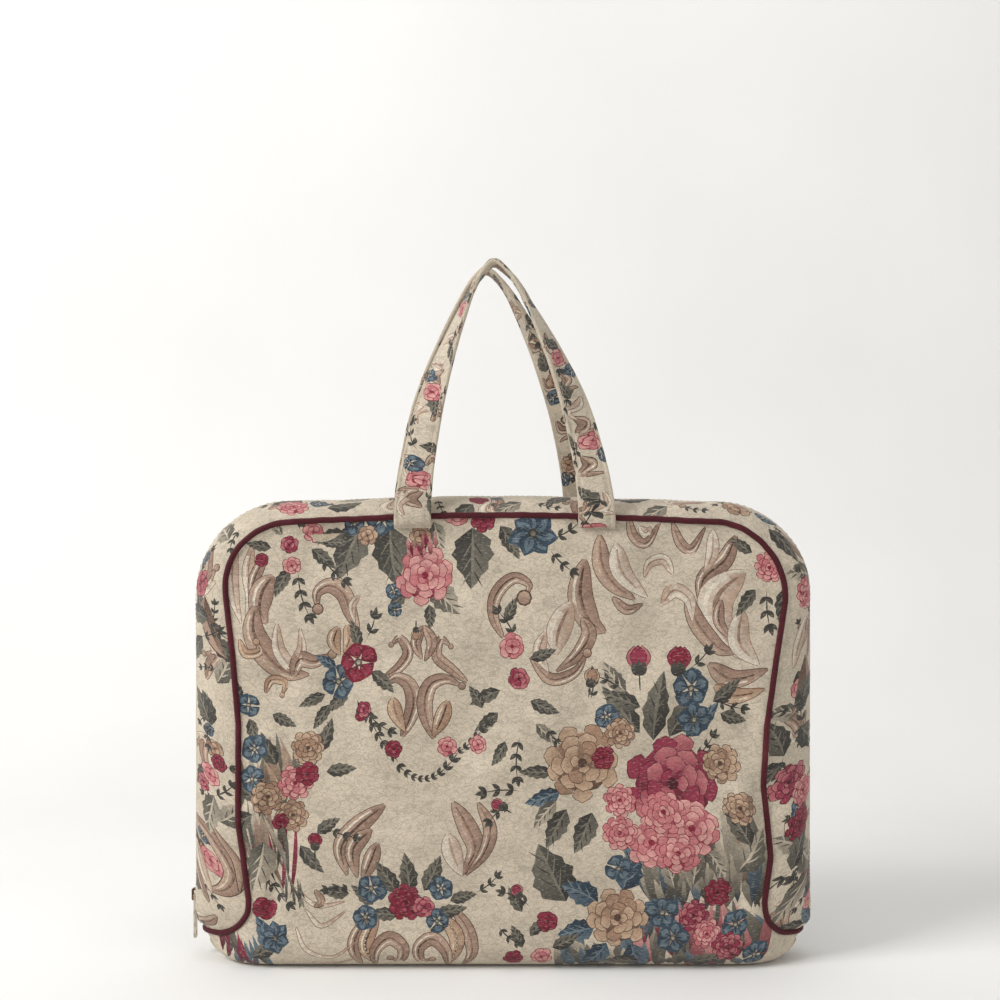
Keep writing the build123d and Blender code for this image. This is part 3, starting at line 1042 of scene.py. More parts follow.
def plain_cloth(name, colour, dark, scale, roughness):
    """Plain woven cloth in one colour, with darker gaps and slight fading."""
    nodes = Nodes(name)
    place = nodes.add("ShaderNodeTexCoord").outputs["Object"]
    weave = nodes.noise(place, scale, 2.0)
    fading = nodes.noise(place, 45.0, 3.0)
    base = nodes.mix(nodes.span(weave, 0.35, 0.65, 0, 1), dark, colour)
    worn = tuple(min(1.0, part * 1.35 + 0.012) for part in colour)
    faded = nodes.mix(nodes.span(fading, 0.5, 0.8, 0, 0.6), base, worn)
    nodes.link(faded, nodes.shader.inputs["Base Color"])
    nodes.bump(weave, 0.5, 0.0003)
    nodes.link(nodes.span(weave, 0.3, 0.7, roughness, roughness - 0.15), nodes.shader.inputs["Roughness"])
    nodes.shader.inputs["Sheen Weight"].default_value = 0.1
    nodes.shader.inputs["Specular IOR Level"].default_value = 0.25
    return nodes.material


def metal(name, colour, tarnish, roughness):
    """Plated metal with fine scuffs and a little tarnish."""
    nodes = Nodes(name)
    place = nodes.add("ShaderNodeTexCoord").outputs["Object"]
    scuffs = nodes.noise(nodes.stretched(place, (2600, 2600, 500)), 1.0, 2.0)
    stain = nodes.noise(place, 260.0, 3.0)
    mottled = nodes.mix(nodes.span(stain, 0.45, 0.75, 0, 0.8), colour, tarnish)
    nodes.link(mottled, nodes.shader.inputs["Base Color"])
    rough = nodes.span(scuffs, 0.3, 0.7, roughness - 0.08, roughness + 0.16)
    nodes.link(rough, nodes.shader.inputs["Roughness"])
    nodes.bump(scuffs, 0.12, 0.0001)
    nodes.shader.inputs["Metallic"].default_value = 1.0
    return nodes.material


tapestry = tapestry_material()
piping_cloth = plain_cloth("piping_cloth", linear(84, 16, 28), linear(46, 6, 14), 1400.0, 0.8)
lining_cloth = plain_cloth("lining_cloth", linear(196, 182, 160), linear(150, 136, 116), 1500.0, 0.85)
tape_cloth = plain_cloth("zip_tape_cloth", linear(205, 193, 172), linear(168, 154, 132), 1700.0, 0.85)
coil_nylon = plain_cloth("zip_coil_nylon", linear(212, 200, 180), linear(180, 166, 144), 900.0, 0.5)
thread_cloth = plain_cloth("stitch_thread", linear(216, 204, 182), linear(176, 160, 136), 3200.0, 0.7)
slider_metal = metal("slider_metal", linear(120, 96, 70), linear(58, 44, 34), 0.38)
pull_metal = metal("pull_metal", linear(206, 196, 178), linear(150, 134, 112), 0.34)

# The pattern of the front, placed by the photograph, in pixels
# Bands of the scrolls: tones, width, end ball and the places on the way
bands_px = (
    # Left acanthus
    ("pale", 12, 0, (237, 545), (232, 570), (233, 600), (239, 624)),
    ("pale", 12, 0, (253, 547), (248, 572), (250, 598), (244, 626)),
    ("tan", 11, 0, (266, 556), (254, 580), (250, 606)),
    ("tan", 24, 0, (273, 576), (262, 592), (259, 610), (266, 624)),
    ("tan", 25, 0, (254, 606), (252, 632), (264, 657), (282, 673), (306, 675)),
    ("pale", 14, 0, (276, 624), (276, 650), (288, 666), (299, 650), (299, 628)),
    ("tan", 15, 5, (288, 678), (296, 660), (312, 662), (330, 655)),
    ("dusty", 9, 4, (236, 640), (242, 654), (256, 652), (254, 642)),
    ("dusty", 8, 3, (260, 694), (266, 681), (280, 684), (277, 696)),
    ("tan", 16, 6, (358, 632), (350, 614), (344, 596), (330, 587), (317, 594), (317, 610)),
    ("pale", 7, 0, (359, 598), (352, 608), (354, 624)),
    ("dusty", 13, 0, (337, 628), (332, 642), (338, 656)),
    ("dusty", 12, 0, (346, 626), (348, 640), (342, 654)),
    # Scrolls of the middle
    ("tan", 10, 3, (383, 678), (399, 668), (408, 654), (400, 640), (391, 646)),
    ("tan", 10, 3, (467, 682), (452, 670), (437, 657), (441, 641), (451, 648)),
    ("tan", 10, 0, (424, 628), (416, 644), (422, 660)),
    ("tan", 10, 0, (424, 628), (432, 644), (425, 662)),
    ("tan", 15, 4, (402, 736), (410, 718), (414, 700), (409, 684), (396, 678), (384, 686)),
    ("tan", 15, 4, (434, 738), (427, 718), (425, 700), (431, 684), (446, 679), (462, 686)),
    ("dusty", 14, 0, (393, 697), (396, 712), (405, 730)),
    ("dusty", 15, 0, (448, 700), (442, 718), (433, 736)),
    # Scroll and acanthus right of the middle
    ("tan", 12, 8, (503, 640), (494, 622), (494, 604), (503, 590), (516, 583), (529, 590), (524, 602)),
    ("tan", 10, 0, (629, 521), (634, 540), (647, 546), (661, 524)),
    ("tan", 10, 0, (673, 524), (681, 545), (692, 550), (706, 528)),
    ("pale", 9, 0, (640, 530), (646, 536), (652, 530)),
    ("tan", 25, 0, (585, 564), (580, 598), (590, 624), (606, 634)),
    ("tan", 19, 0, (600, 540), (602, 568), (614, 588), (634, 602)),
    ("pale", 20, 0, (616, 548), (622, 576), (646, 600)),
    ("tan", 9, 0, (612, 600), (626, 612), (642, 606)),
    ("pale", 24, 0, (571, 606), (558, 634), (556, 656)),
    ("tan", 15, 0, (582, 620), (589, 636), (578, 655), (556, 672)),
    ("tan", 11, 5, (530, 658), (550, 679), (574, 673), (587, 654)),
    ("pale", 12, 0, (545, 634), (539, 654), (548, 672)),
    # Right acanthus
    ("tan", 16, 0, (737, 536), (724, 560), (701, 580), (697, 610)),
    ("pale", 12, 0, (714, 530), (712, 552), (702, 574)),
    ("pale", 34, 0, (742, 572), (713, 597), (716, 627), (743, 660)),
    ("tan", 17, 0, (684, 594), (694, 622), (716, 647), (736, 654)),
    ("tan", 10, 0, (716, 600), (716, 622), (730, 640)),
    ("pale", 22, 0, (738, 610), (738, 642), (760, 666)),
    ("tan", 19, 0, (708, 664), (735, 680), (770, 670)),
    ("dusty", 16, 0, (716, 686), (740, 697), (768, 690)),
    ("pale", 14, 0, (660, 606), (672, 592), (686, 600), (690, 622)),
    ("pale", 10, 0, (672, 576), (664, 562), (650, 566), (644, 580)),
    # Plumes and volutes of the lower middle
    ("tan", 19, 0, (385, 804), (358, 826), (341, 848), (346, 876)),
    ("tan", 16, 0, (372, 828), (353, 849), (356, 878)),
    ("tan", 15, 0, (378, 842), (370, 862), (361, 882)),
    ("tan", 19, 0, (453, 801), (467, 825), (475, 848), (462, 874)),
    ("tan", 13, 0, (478, 801), (490, 827), (484, 852), (466, 874)),
    ("pale", 19, 0, (448, 832), (453, 853), (462, 874)),
    ("tan", 13, 0, (364, 918), (353, 944), (361, 972)),
    ("dusty", 15, 0, (377, 916), (365, 944), (376, 970)),
    ("tan", 13, 4, (374, 974), (375, 950), (389, 937), (403, 947), (400, 963), (390, 960)),
    ("tan", 13, 0, (452, 906), (467, 928), (472, 952), (462, 974)),
    ("dusty", 15, 0, (442, 914), (457, 938), (450, 968)),
    ("tan", 13, 4, (448, 976), (446, 952), (433, 938), (419, 947), (421, 964), (432, 962)),
    # Outlined shell at the lower left
    ("pale", 4, 0, (291, 888), (312, 906), (342, 902)),
    ("pale", 4, 0, (300, 910), (318, 926), (342, 912)),
    ("pale", 4, 0, (292, 928), (305, 950), (330, 959), (354, 942)),
    ("pale", 4, 0, (310, 968), (330, 972), (352, 962)),
    ("tan", 7, 0, (312, 890), (318, 902), (310, 908)),
    ("pale", 14, 0, (240, 900), (238, 876), (246, 850)),
)
# Leaves: root, heading, length, width and, where they aren't leaf tones, tones
leaves_px = (
    # Top bouquet, hanging
    (362, 525, -1.97, 62, 38), (390, 530, -1.62, 60, 40), (472, 534, -1.5, 60, 44),
    (431, 590, -0.7, 40, 28, "grey"), (433, 528, -1.2, 32, 18, "grey"), (500, 533, -0.9, 38, 19),
    (345, 535, 3.4, 34, 18), (405, 592, -2.2, 28, 15), (429, 608, -1.4, 24, 13),
    # Small roses at the upper left
    (306, 528, 2.3, 26, 12), (272, 548, 3.0, 26, 12), (290, 570, 4.0, 32, 15), (312, 550, -0.7, 32, 15),
    (322, 543, -0.2, 26, 12), (283, 535, 2.4, 22, 10, "grey"),
    # Round the anemone and along the left edge
    (358, 648, 1.7, 28, 14), (370, 672, -0.5, 32, 15), (345, 690, -2.2, 32, 15), (322, 695, 3.5, 30, 13),
    (326, 705, 4.1, 30, 13), (334, 668, 2.6, 24, 12, "blue"), (267, 715, -0.5, 28, 13),
    (243, 720, -1.2, 28, 13), (236, 700, 1.9, 24, 10),
    # Middle garland
    (506, 625, 1.2, 26, 13), (530, 660, 0.3, 28, 13), (500, 690, 3.5, 34, 15), (498, 712, 3.9, 30, 14),
    (530, 700, -0.5, 32, 15), (536, 722, -0.9, 30, 14, "grey"), (482, 708, 1.9, 26, 13),
    (505, 740, 4.4, 28, 13),
    # Fan under the two buds
    (640, 732, 2.3, 60, 26), (655, 740, 1.6, 70, 30), (672, 737, 1.1, 60, 26), (640, 706, 2.8, 42, 20),
    (690, 737, 0.7, 48, 22, "blue"), (626, 692, 2.4, 38, 18, "grey"), (704, 762, 0.2, 38, 19),
    (612, 774, 2.6, 42, 20, "blue"), (716, 702, 0.5, 36, 17), (725, 714, -0.4, 30, 15),
    # Round the tan flower
    (560, 790, 3.6, 38, 19, "blue"), (552, 772, 3.0, 34, 15), (566, 808, 4.2, 44, 23),
    (592, 812, -1.9, 44, 25), (556, 800, 3.9, 36, 17, "grey"), (566, 900, 2.1, 64, 46),
    (622, 890, 1.2, 44, 30, "blue"), (598, 902, 2.5, 42, 27, "blue"), (594, 926, 3.4, 38, 25, "blue"),
    (606, 942, 4.2, 42, 25, "blue"), (630, 942, -1.3, 42, 25, "blue"), (640, 912, 0.4, 34, 20, "blue"),
    # Lower right
    (735, 876, 1.2, 54, 34, "grey"), (746, 846, 1.9, 46, 22), (702, 850, 5.4, 36, 19, "grey"),
    (690, 886, 1.6, 48, 20, "grey"), (672, 888, 1.9, 44, 18, "grey"), (640, 965, 3.0, 36, 18),
    (690, 968, 0.4, 36, 18), (600, 966, 3.7, 32, 15), (530, 935, 1.0, 28, 13), (522, 910, 2.2, 28, 13),
    (522, 947, 1.9, 26, 13), (552, 947, 0.4, 30, 15),
    # Lower left
    (258, 800, 2.6, 40, 18), (254, 814, 3.7, 46, 22), (264, 842, 4.6, 54, 32, "grey"),
    (275, 765, 2.2, 38, 17), (318, 752, 1.2, 36, 16), (325, 772, 0.2, 32, 15), (300, 845, 5.2, 36, 16),
    (318, 833, 0.7, 28, 14), (270, 958, 1.9, 42, 20, "blue"), (250, 964, 0.6, 36, 17),
    # Right edge and bottom bouquet
    (780, 590, 4.6, 36, 17), (752, 590, 3.9, 34, 15), (784, 560, 1.0, 28, 13), (752, 553, 2.6, 26, 13),
    (398, 893, 2.2, 40, 20), (410, 893, 1.6, 42, 20), (424, 890, 1.0, 40, 20), (372, 905, 2.4, 30, 14),
    (347, 895, 2.9, 30, 15), (436, 912, 0.1, 32, 15), (398, 915, 3.0, 32, 15), (450, 900, 0.4, 28, 14),
)
# Sprigs: root, heading, length and pairs of leaves
sprigs_px = (
    (298, 572, -1.6, 50, 4), (322, 558, -1.1, 38, 3), (553, 545, 0.3, 36, 3), (550, 556, -1.0, 34, 3),
    (520, 735, -1.9, 46, 4), (545, 725, -1.1, 34, 3), (515, 640, 1.9, 34, 3), (366, 640, 0.9, 28, 2),
    (590, 700, 1.2, 30, 3), (520, 790, 2.9, 40, 3), (512, 800, 3.6, 34, 3), (530, 905, 2.4, 34, 3),
    (330, 828, -0.6, 30, 3), (700, 760, 0.6, 34, 3), (763, 590, -1.7, 42, 3), (622, 690, 2.4, 34, 3),
    (690, 668, 0.5, 28, 2), (350, 892, 2.8, 30, 3), (476, 892, 0.4, 30, 3), (498, 925, -1.0, 28, 3),
    (720, 700, -0.6, 34, 3), (265, 880, -1.2, 36, 3), (366, 712, -0.9, 34, 3), (225, 705, 1.9, 30, 3),
)
# Garlands: both ends, sag and number of leaves
garlands_px = (
    (366, 712, 398, 760, 4, 6), (398, 764, 458, 752, 20, 9), (458, 752, 492, 716, 4, 6),
)
bead_size = 0.95
beads_px = (
    ((371, 922), (364, 944), (373, 964)), ((447, 918), (457, 940), (452, 962)),
)
# Buds: root, heading, length and tones
buds_px = (
    (640, 692, 1.62, 46, "magenta"), (676, 692, 1.5, 46, "burgundy"), (314, 860, 1.5, 28, "burgundy"),
    (524, 905, 2.0, 24, "magenta"), (300, 530, 1.9, 24, "pink"), (772, 560, 1.1, 26, "pink"),
    (356, 700, 4.9, 22, "burgundy"), (588, 698, 1.4, 30, "dusty"), (512, 812, 2.6, 24, "magenta"),
    (416, 622, -1.57, 20, "dusty"),
)
# Open flowers: middle, radius, petals and, where they aren't blue, tones
blossoms_px = (
    (382, 523, 16, 5), (411, 518, 15, 5), (354, 527, 11, 4), (394, 594, 8, 4), (395, 612, 7, 4),
    (336, 682, 17, 5), (692, 688, 18, 5), (698, 720, 17, 6), (251, 750, 14, 5), (251, 779, 13, 5),
    (243, 706, 11, 4), (370, 889, 15, 5), (364, 917, 13, 5), (441, 887, 12, 5), (437, 920, 12, 4),
    (661, 912, 16, 5), (672, 937, 15, 5), (357, 663, 19, 5, "burgundy"), (606, 716, 13, 5),
    (735, 927, 14, 5), (755, 960, 13, 5), (618, 868, 13, 4),
)
stars_px = ((533, 540, 24, 7), (272, 940, 15, 6))
# Full flowers: middle, radius and tones
roses_px = (
    (676, 784, 50, "magenta"), (690, 828, 30, "pink"), (650, 842, 26, "pink"), (674, 852, 22, "pink"),
    (664, 812, 22, "pink"), (425, 580, 29, "pink"), (367, 539, 11, "dusty"), (420, 541, 12, "dusty"),
    (483, 527, 13, "burgundy"), (457, 520, 14, "pink"), (313, 533, 11, "pink"), (290, 545, 10, "magenta"),
    (292, 566, 10, "pink"), (262, 560, 8, "burgundy"), (394, 748, 10, "burgundy"),
    (363, 709, 9, "magenta"), (447, 746, 11, "pink"), (478, 744, 10, "pink"), (512, 648, 14, "pink"),
    (519, 679, 12, "magenta"), (768, 568, 16, "pink"), (582, 762, 38, "dusty"),
    (603, 757, 13, "burgundy"), (620, 732, 16, "dusty"), (620, 800, 17, "pink"), (619, 832, 18, "pink"),
    (268, 797, 18, "dusty"), (305, 748, 18, "dusty"), (294, 783, 18, "pink"), (306, 774, 13, "burgundy"),
    (293, 816, 17, "dusty"), (281, 822, 9, "burgundy"), (406, 902, 19, "burgundy"),
    (424, 906, 12, "magenta"), (617, 917, 30, "dusty"), (547, 920, 12, "burgundy"),
    (513, 960, 11, "burgundy"), (541, 958, 12, "pink"), (692, 916, 16, "magenta"),
    (715, 894, 15, "burgundy"), (706, 934, 15, "pink"), (727, 765, 20, "dusty"), (741, 808, 17, "dusty"),
    (727, 948, 16, "magenta"), (258, 912, 14, "burgundy"),
)
# Streaks: foot, width, height, number and the tones in turn
sheaves_px = (
    (706, 915, 116, 120, 70, ("grey", "leaf", "blue", "grey", "leaf", "tan")),
    (700, 980, 130, 80, 56, ("leaf", "blue", "magenta", "leaf", "pink", "grey")),
    (600, 985, 90, 60, 30, ("leaf", "blue", "grey")),
    (264, 900, 44, 130, 34, ("grey", "leaf", "tan", "burgundy")),
    (268, 820, 60, 90, 26, ("tan", "leaf", "dusty", "grey")),
    (245, 985, 56, 50, 22, ("burgundy", "leaf", "blue")),
    (684, 908, 62, 62, 22, ("grey", "blue", "leaf", "grey")),
    (668, 950, 50, 56, 16, ("blue", "leaf", "blue", "magenta")),
    (712, 950, 46, 60, 16, ("magenta", "pink", "burgundy", "leaf")),
    (290, 912, 25, 42, 14, ("leaf", "leaf", "grey")), (700, 976, 86, 28, 16, ("leaf", "blue", "leaf")),
)
top_sheaves_px = ((425, 564, 34, 30, 12, ("burgundy", "magenta", "pink")),)


def draw_sheaves(drawing, sheaves):
    """Brushes of streaks on the front."""
    for px, py, wide, tall, count, kinds in sheaves:
        drawing.sheaf(photo(px, py), wide * px_size, tall * px_size, count, kinds)


def half_print(plain):
    """Shapes of one half of the panel, scrolls first and flowers last, down to the middle of the base."""
    drawing = Print(panel_seed, plain)
    for kind, width, ball, *spots in bands_px:
        places = [photo(*spot) for spot in spots]
        drawing.band(places, width * px_size, kind, ball * px_size)
    for spots in beads_px:
        drawing.beads([photo(*spot) for spot in spots], bead_size)
    draw_sheaves(drawing, sheaves_px)
    for px, py, heading, length, width, *kind in leaves_px:
        bend = drawing.chance.uniform(-0.4, 0.4)
        drawing.leaf(photo(px, py), heading, length * px_size, width * px_size, bend, *kind)
    for px, py, heading, length, pairs in sprigs_px:
        drawing.sprig(photo(px, py), heading, length * px_size, pairs)
    for px, py, to_px, to_py, sag, leaves in garlands_px:
        drawing.garland(photo(px, py), photo(to_px, to_py), sag * px_size, leaves)
    for px, py, heading, length, kind in buds_px:
        drawing.bud(photo(px, py), heading, length * px_size, kind)
    for px, py, radius, petals in stars_px:
        drawing.blossom(photo(px, py), radius * px_size, petals, "blue", "leaf", 0.85)
    for px, py, radius, petals, *kind in blossoms_px:
        drawing.blossom(photo(px, py), radius * px_size, petals, *kind)
    for px, py, radius, kind in roses_px:
        drawing.rose(photo(px, py), radius * px_size, kind)
    draw_sheaves(drawing, top_sheaves_px)
    lowest = cloth_middle + base_overlap
    return [shape for shape in drawing.shapes if max(point.imag for point in shape[0]) > lowest]


# Main panel: on the flat it is equally wide at every height
panel_seed = 4
base_overlap = 2
half_across = 100
panel_pitch = 3.8
panel_shapes = [*turned_over(half_print(True)), *half_print(False)]


def panel_parameters(flat):
    """Share across and cloth height of flat places on the panel."""
    return flat[:, 0] / half_across, flat[:, 1]


def squared(shapes):
    """Panel shapes spread across so that the panel is equally wide at every height."""
    result = []
    for points, near, far, start, end in shapes:
        spots = np.array([*points, start, end])
        level = np.clip(half_height(spots.imag), cloth_middle, edge_top)
        half = np.abs(panel_edge(level)[0][:, 0])
        moved = spots.real / half * half_across + 1j * spots.imag
        result.append((list(moved[:-2]), near, far, moved[-2], moved[-1]))
    return result


panel_surface = swollen(panel_place, panel_swell, 1, 100)
panel_print = squared(panel_shapes)
panel_low = complex(-half_across, 2 * cloth_middle - edge_top)
panel_high = complex(half_across, edge_top)
main_panel = printed_piece(
    "main_panel_cloth", panel_surface, panel_parameters, panel_print, panel_low, panel_high, panel_pitch)
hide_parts("main_panel")


def steps_from(place, *steps):
    """Places that lie at distances and headings from one place."""
    return [place + cmath.rect(*step) for step in steps]


# Gusset strips, cut from the same cloth: full flowers by place along, share across, radius and tones
strip_seed = 9
strip_pitch = 3.4
strip_motif_range = (8, 26)
side_leaf_bend = 0.3
strip_roses = (
    (70, 0.5, 9, "pink"), (150, 0.4, 7, "dusty"), (262, 0.55, 8, "magenta"), (330, 0.4, 10, "pink"),
    (448, 0.5, 7, "burgundy"), (520, 0.6, 8, "pink"), (610, 0.45, 9, "dusty"), (735, 0.5, 8, "pink"),
    (800, 0.4, 11, "magenta"), (872, 0.6, 9, "burgundy"),
)
strip_print = Print(strip_seed)
for spot in range(20, round(strip_length), 62):
    way = strip_print.chance.uniform(0, TAU)
    place = complex(spot, strip_print.chance.uniform(*strip_motif_range))
    strip_print.band(steps_from(place, (0, 0), (9, way), (15, way + 0.9)), 9, "pale")
    curl = steps_from(place, (14, way + 3), (6, way + 2), (9, way + 0.6), (13, way + 1.5))
    strip_print.band(curl, 8, "tan", 2.5)
for spot in range(10, round(strip_length), 31):
    way = strip_print.chance.uniform(0, TAU)
    root = complex(spot, strip_print.chance.uniform(*strip_motif_range))
    strip_print.leaf(root, way, 24, 13, kind=("leaf", "grey", "leaf")[spot % 3])
    strip_print.sprig(root + 9, way + 2, 16, 3)
for along_mm, share, radius, kind in strip_roses:
    strip_print.rose(complex(along_mm, share * strip_width), radius, kind)
    strip_print.blossom(complex(along_mm + radius * 1.6, share * strip_width + 4), radius * 0.6)

# What the photograph shows on the side strips: place, share across, heading, size and tones
side_leaves_px = (
    (204, 620, 0.35, 1.2, 30), (206, 640, 0.6, 2.4, 26), (212, 735, 0.5, 0.4, 26),
    (222, 810, 0.4, 2.9, 28, "grey"), (792, 560, 0.5, 0.9, 24), (794, 715, 0.4, 2.2, 34),
    (794, 740, 0.6, 0.6, 34), (790, 765, 0.3, 3.4, 30), (792, 866, 0.5, 0.3, 34, "grey"),
    (786, 885, 0.3, 2.6, 32), (786, 920, 0.6, 1.0, 32), (772, 950, 0.4, 2.9, 30, "blue"),
    (800, 905, 0.7, 5.2, 30, "grey"),
)
side_strokes_px = (
    (206, 560, 0.4, 2.9, 46, 13, 0.9), (806, 660, 0.6, 0.3, 46, 13, -0.9),
)
side_bands_px = (
    ("tan", 10, (204, 852, 0.9), (226, 855, 0.45), (238, 880, 0.14), (231, 906, 0.3), (216, 922, 0.6)),
    ("pale", 9, (205, 878, 0.85), (211, 900, 0.72), (218, 922, 0.5)),
    ("tan", 4, (228, 842, 0.4), (240, 866, 0.08), (241, 898, 0.08)),
    ("tan", 7, (206, 905, 0.9), (212, 922, 0.75), (222, 932, 0.5)),
    ("pale", 8, (800, 610, 0.7), (790, 640, 0.4), (794, 672, 0.3)),
    ("tan", 7, (806, 600, 0.9), (800, 632, 0.8), (804, 664, 0.7)),
)
side_roses_px = (
    (212, 790, 0.5, 8, "pink"), (222, 772, 0.3, 6, "burgundy"), (216, 806, 0.7, 6, "magenta"),
    (790, 588, 0.45, 10, "pink"), (786, 795, 0.4, 13, "magenta"), (796, 815, 0.7, 10, "pink"),
    (795, 842, 0.5, 10, "burgundy"), (800, 937, 0.7, 8, "pink"), (776, 940, 0.3, 7, "burgundy"),
)


def strip_spot(px, py, share):
    """Place on a flat strip of a point that the photograph shows beside the front."""
    lengths = np.linspace(strip_seam.bends[0][0], strip_seam.bends[2][0], 300)
    along = np.interp(photo(px, py).imag, strip_seam.at(lengths)[:, 2], lengths)
    return complex(along if px < middle_px else strip_length - along, share * strip_width)


for px, py, share, heading, length, width, bend in side_strokes_px:
    strip_print.stroke(strip_spot(px, py, share), heading, length, width, bend)
for kind, width, *spots in side_bands_px:
    strip_print.band([strip_spot(*spot) for spot in spots], width, kind)
for px, py, share, heading, length, *kind in side_leaves_px:
    root = strip_spot(px, py, share)
    strip_print.leaf(root, heading, length, length * 0.55, side_leaf_bend, *kind)
    strip_print.sprig(root, heading + 2.4, length * 0.7, 3)
for px, py, share, radius, kind in side_roses_px:
    strip_print.rose(strip_spot(px, py, share), radius, kind)


def strip_parameters(flat):
    """Length along the seam and share towards the zipper of flat places on a strip."""
    return np.clip(flat[:, 0], 0, strip_length), flat[:, 1] / strip_width


def back_surface(surface):
    """A surface mirrored to the back of the bag."""

    def mirrored(one, two):
        points, normals = surface(one, two)
        return points * np.array([1, -1, 1]), normals * np.array([1, -1, 1])

    return mirrored


strip_surface = swollen(strip_place, strip_swell, 100, 1)
strip_high = complex(strip_length, strip_width + hem_depth)
# Name, surface and turn of the stitches of each strip
strip_sides = (("front", strip_surface, 1), ("back", back_surface(strip_surface), -1))
for side_name, surface, turn in strip_sides:
    node = f"gusset_{side_name}"
    strip = printed_piece(
        f"{node}_cloth", surface, strip_parameters, strip_print.shapes, 0j, strip_high, strip_pitch)
    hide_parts(node)

# Handles, with small motifs in rows on both faces
strap_seed = 15
strap_pitch = 2.2
strap_print = Print(strap_seed)
for spot in range(4, round(strap_length), 29):
    for face, kind in ((0.2, "tan"), (0.3, "pale"), (0.7, "dusty"), (0.8, "tan")):
        height = spot + 60 * (face - 0.5) ** 2 + strap_print.chance.uniform(-5, 5)
        way = strap_print.chance.uniform(0.9, 2.2)
        curl = steps_from(
            complex(strap_girth * face, height), (0, 0), (7, way), (12, way + 0.5), (15, way - 0.2))
        strap_print.band(curl, 4.5, kind)
for spot in range(12, round(strap_length), 34):
    for face in (0.25, 0.75):
        place = complex(strap_girth * face + strap_print.chance.uniform(-6, 6), spot + 20 * face)
        way = strap_print.chance.uniform(0.6, 2.4)
        strap_print.sprig(place, way, 20, 3)
        strap_print.leaf(place + 3j, way + 2.2, 15, 8)
for spot in range(26, round(strap_length), 58):
    for face, kind in ((0.25, "pink"), (0.75, "dusty")):
        place = complex(strap_girth * face + strap_print.chance.uniform(-5, 5), spot + 24 * face)
        strap_print.rose(place, 6.5, kind)
        strap_print.blossom(place + complex(5, 10), 5)


def strap_parameters(flat):
    """Length round and along the strap of flat places on it."""
    return flat[:, 0], np.clip(flat[:, 1], 0, strap_length)


strap_surface = swollen(strap_place, strap_swell, 30, 100)


def back_strap_surface(one, two):
    """The back strap: the front one mirrored and shifted."""
    points, normals = back_surface(strap_surface)(one, two)
    return points + np.array([back_handle_shift, 0, 0]), normals


# Name, surface and turn of the stitches of each strap
strap_sides = (("front", strap_surface, 1), ("back", back_strap_surface, -1))
strap_corner = complex(strap_girth, strap_length)
for side_name, surface, turn in strap_sides:
    node = f"handle_{side_name}"
    handle = printed_piece(
        f"{node}_cloth", surface, strap_parameters, strap_print.shapes, 0j, strap_corner, strap_pitch)
    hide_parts(node)


def tube(line, radius, sides, closed):
    """Rings of points round a line, and the faces between them."""
    count = len(line)
    if closed:
        ahead = np.roll(line, -1, axis=0) - np.roll(line, 1, axis=0)
    else:
        ahead = np.gradient(line, axis=0)
    ahead = unit(ahead)
    first = np.cross(ahead, np.array([0.0, 0.38, 0.92]))
    weak = np.linalg.norm(first, axis=1, keepdims=True) < 0.2
    first = unit(np.where(weak, np.cross(ahead, np.array([0.0, 1.0, 0.0])), first))
    second = np.cross(ahead, first)
    angles = np.arange(sides) / sides * TAU
    around = first[:, None] * np.cos(angles)[None, :, None] + second[:, None] * np.sin(angles)[None, :, None]
    points = (line[:, None] + around * radius).reshape(-1, 3)
    rings = count if closed else count - 1
    faces = []
    for ring in range(rings):
        for side in range(sides):
            one = ring * sides + side
            two = ring * sides + (side + 1) % sides
            three = (ring + 1) % count * sides + (side + 1) % sides
            four = (ring + 1) % count * sides + side
            faces.append((one, two, three, four))
    return points, faces


# Piping: the covered cord in the seam, pulled slightly in and out by its stitches
piping_seam = seam_route(0)
piping_pitch = 2.5
piping_sides = 10
piping_front = piping_seam.at(np.arange(0, piping_seam.length, piping_pitch))
piping_back = piping_front[::-1] * np.array([1, -1, 1])
piping_line = np.concatenate([piping_front, piping_back[1:-1]])
piping_steps = np.arange(len(piping_line))
wobble = 0.25 * np.sin(piping_steps * 1.1) + 0.2 * np.sin(piping_steps * 0.37)
piping_line = piping_line + np.stack([wobble * 0.3, 0 * wobble, wobble], axis=-1) * 0.5
piping_points, piping_faces = tube(swayed(piping_line), piping_radius, piping_sides, True)
piping = new_piece("piping_cord", piping_points, piping_faces, piping_cloth)
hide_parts("piping")

# Zipper coils: one long helix on each tape
coil_pitch = 1.5
wire_radius = 0.36
wire_sides = 4
coil_half_height = 0.72
coil_half_width = 0.9
coil_depth = tape_depth - (coil_high[1] - coil_low[1]) / 2 + 0.2
coil_points_each = 8
for side_name in ("front", "back"):
    coil_box_low, coil_box_high = node_box(f"zip_coil_{side_name}")
    coil_start = coil_box_low[2] - ridge_low
    coil_route = ridge_route(coil_depth, (coil_box_low[1] + coil_box_high[1]) / 2)
    turns = (coil_route.length - 2 * coil_start) / coil_pitch
    angles = np.linspace(0, turns * TAU, round(turns * coil_points_each))
    lengths = np.linspace(coil_start, coil_route.length - coil_start, len(angles))
    coil_line = coil_route.at(lengths)
    outward = np.cross(coil_route.along(lengths), np.array([0.0, -1.0, 0.0]))
    coil_line = coil_line + outward * coil_half_height * np.sin(angles)[:, None]
    coil_line[:, 1] += coil_half_width * np.cos(angles)
    coil_points, coil_faces = tube(coil_line, wire_radius, wire_sides, False)
    coil = new_piece(f"zip_coil_{side_name}_turns", coil_points, coil_faces, coil_nylon)
    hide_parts(f"zip_coil_{side_name}")

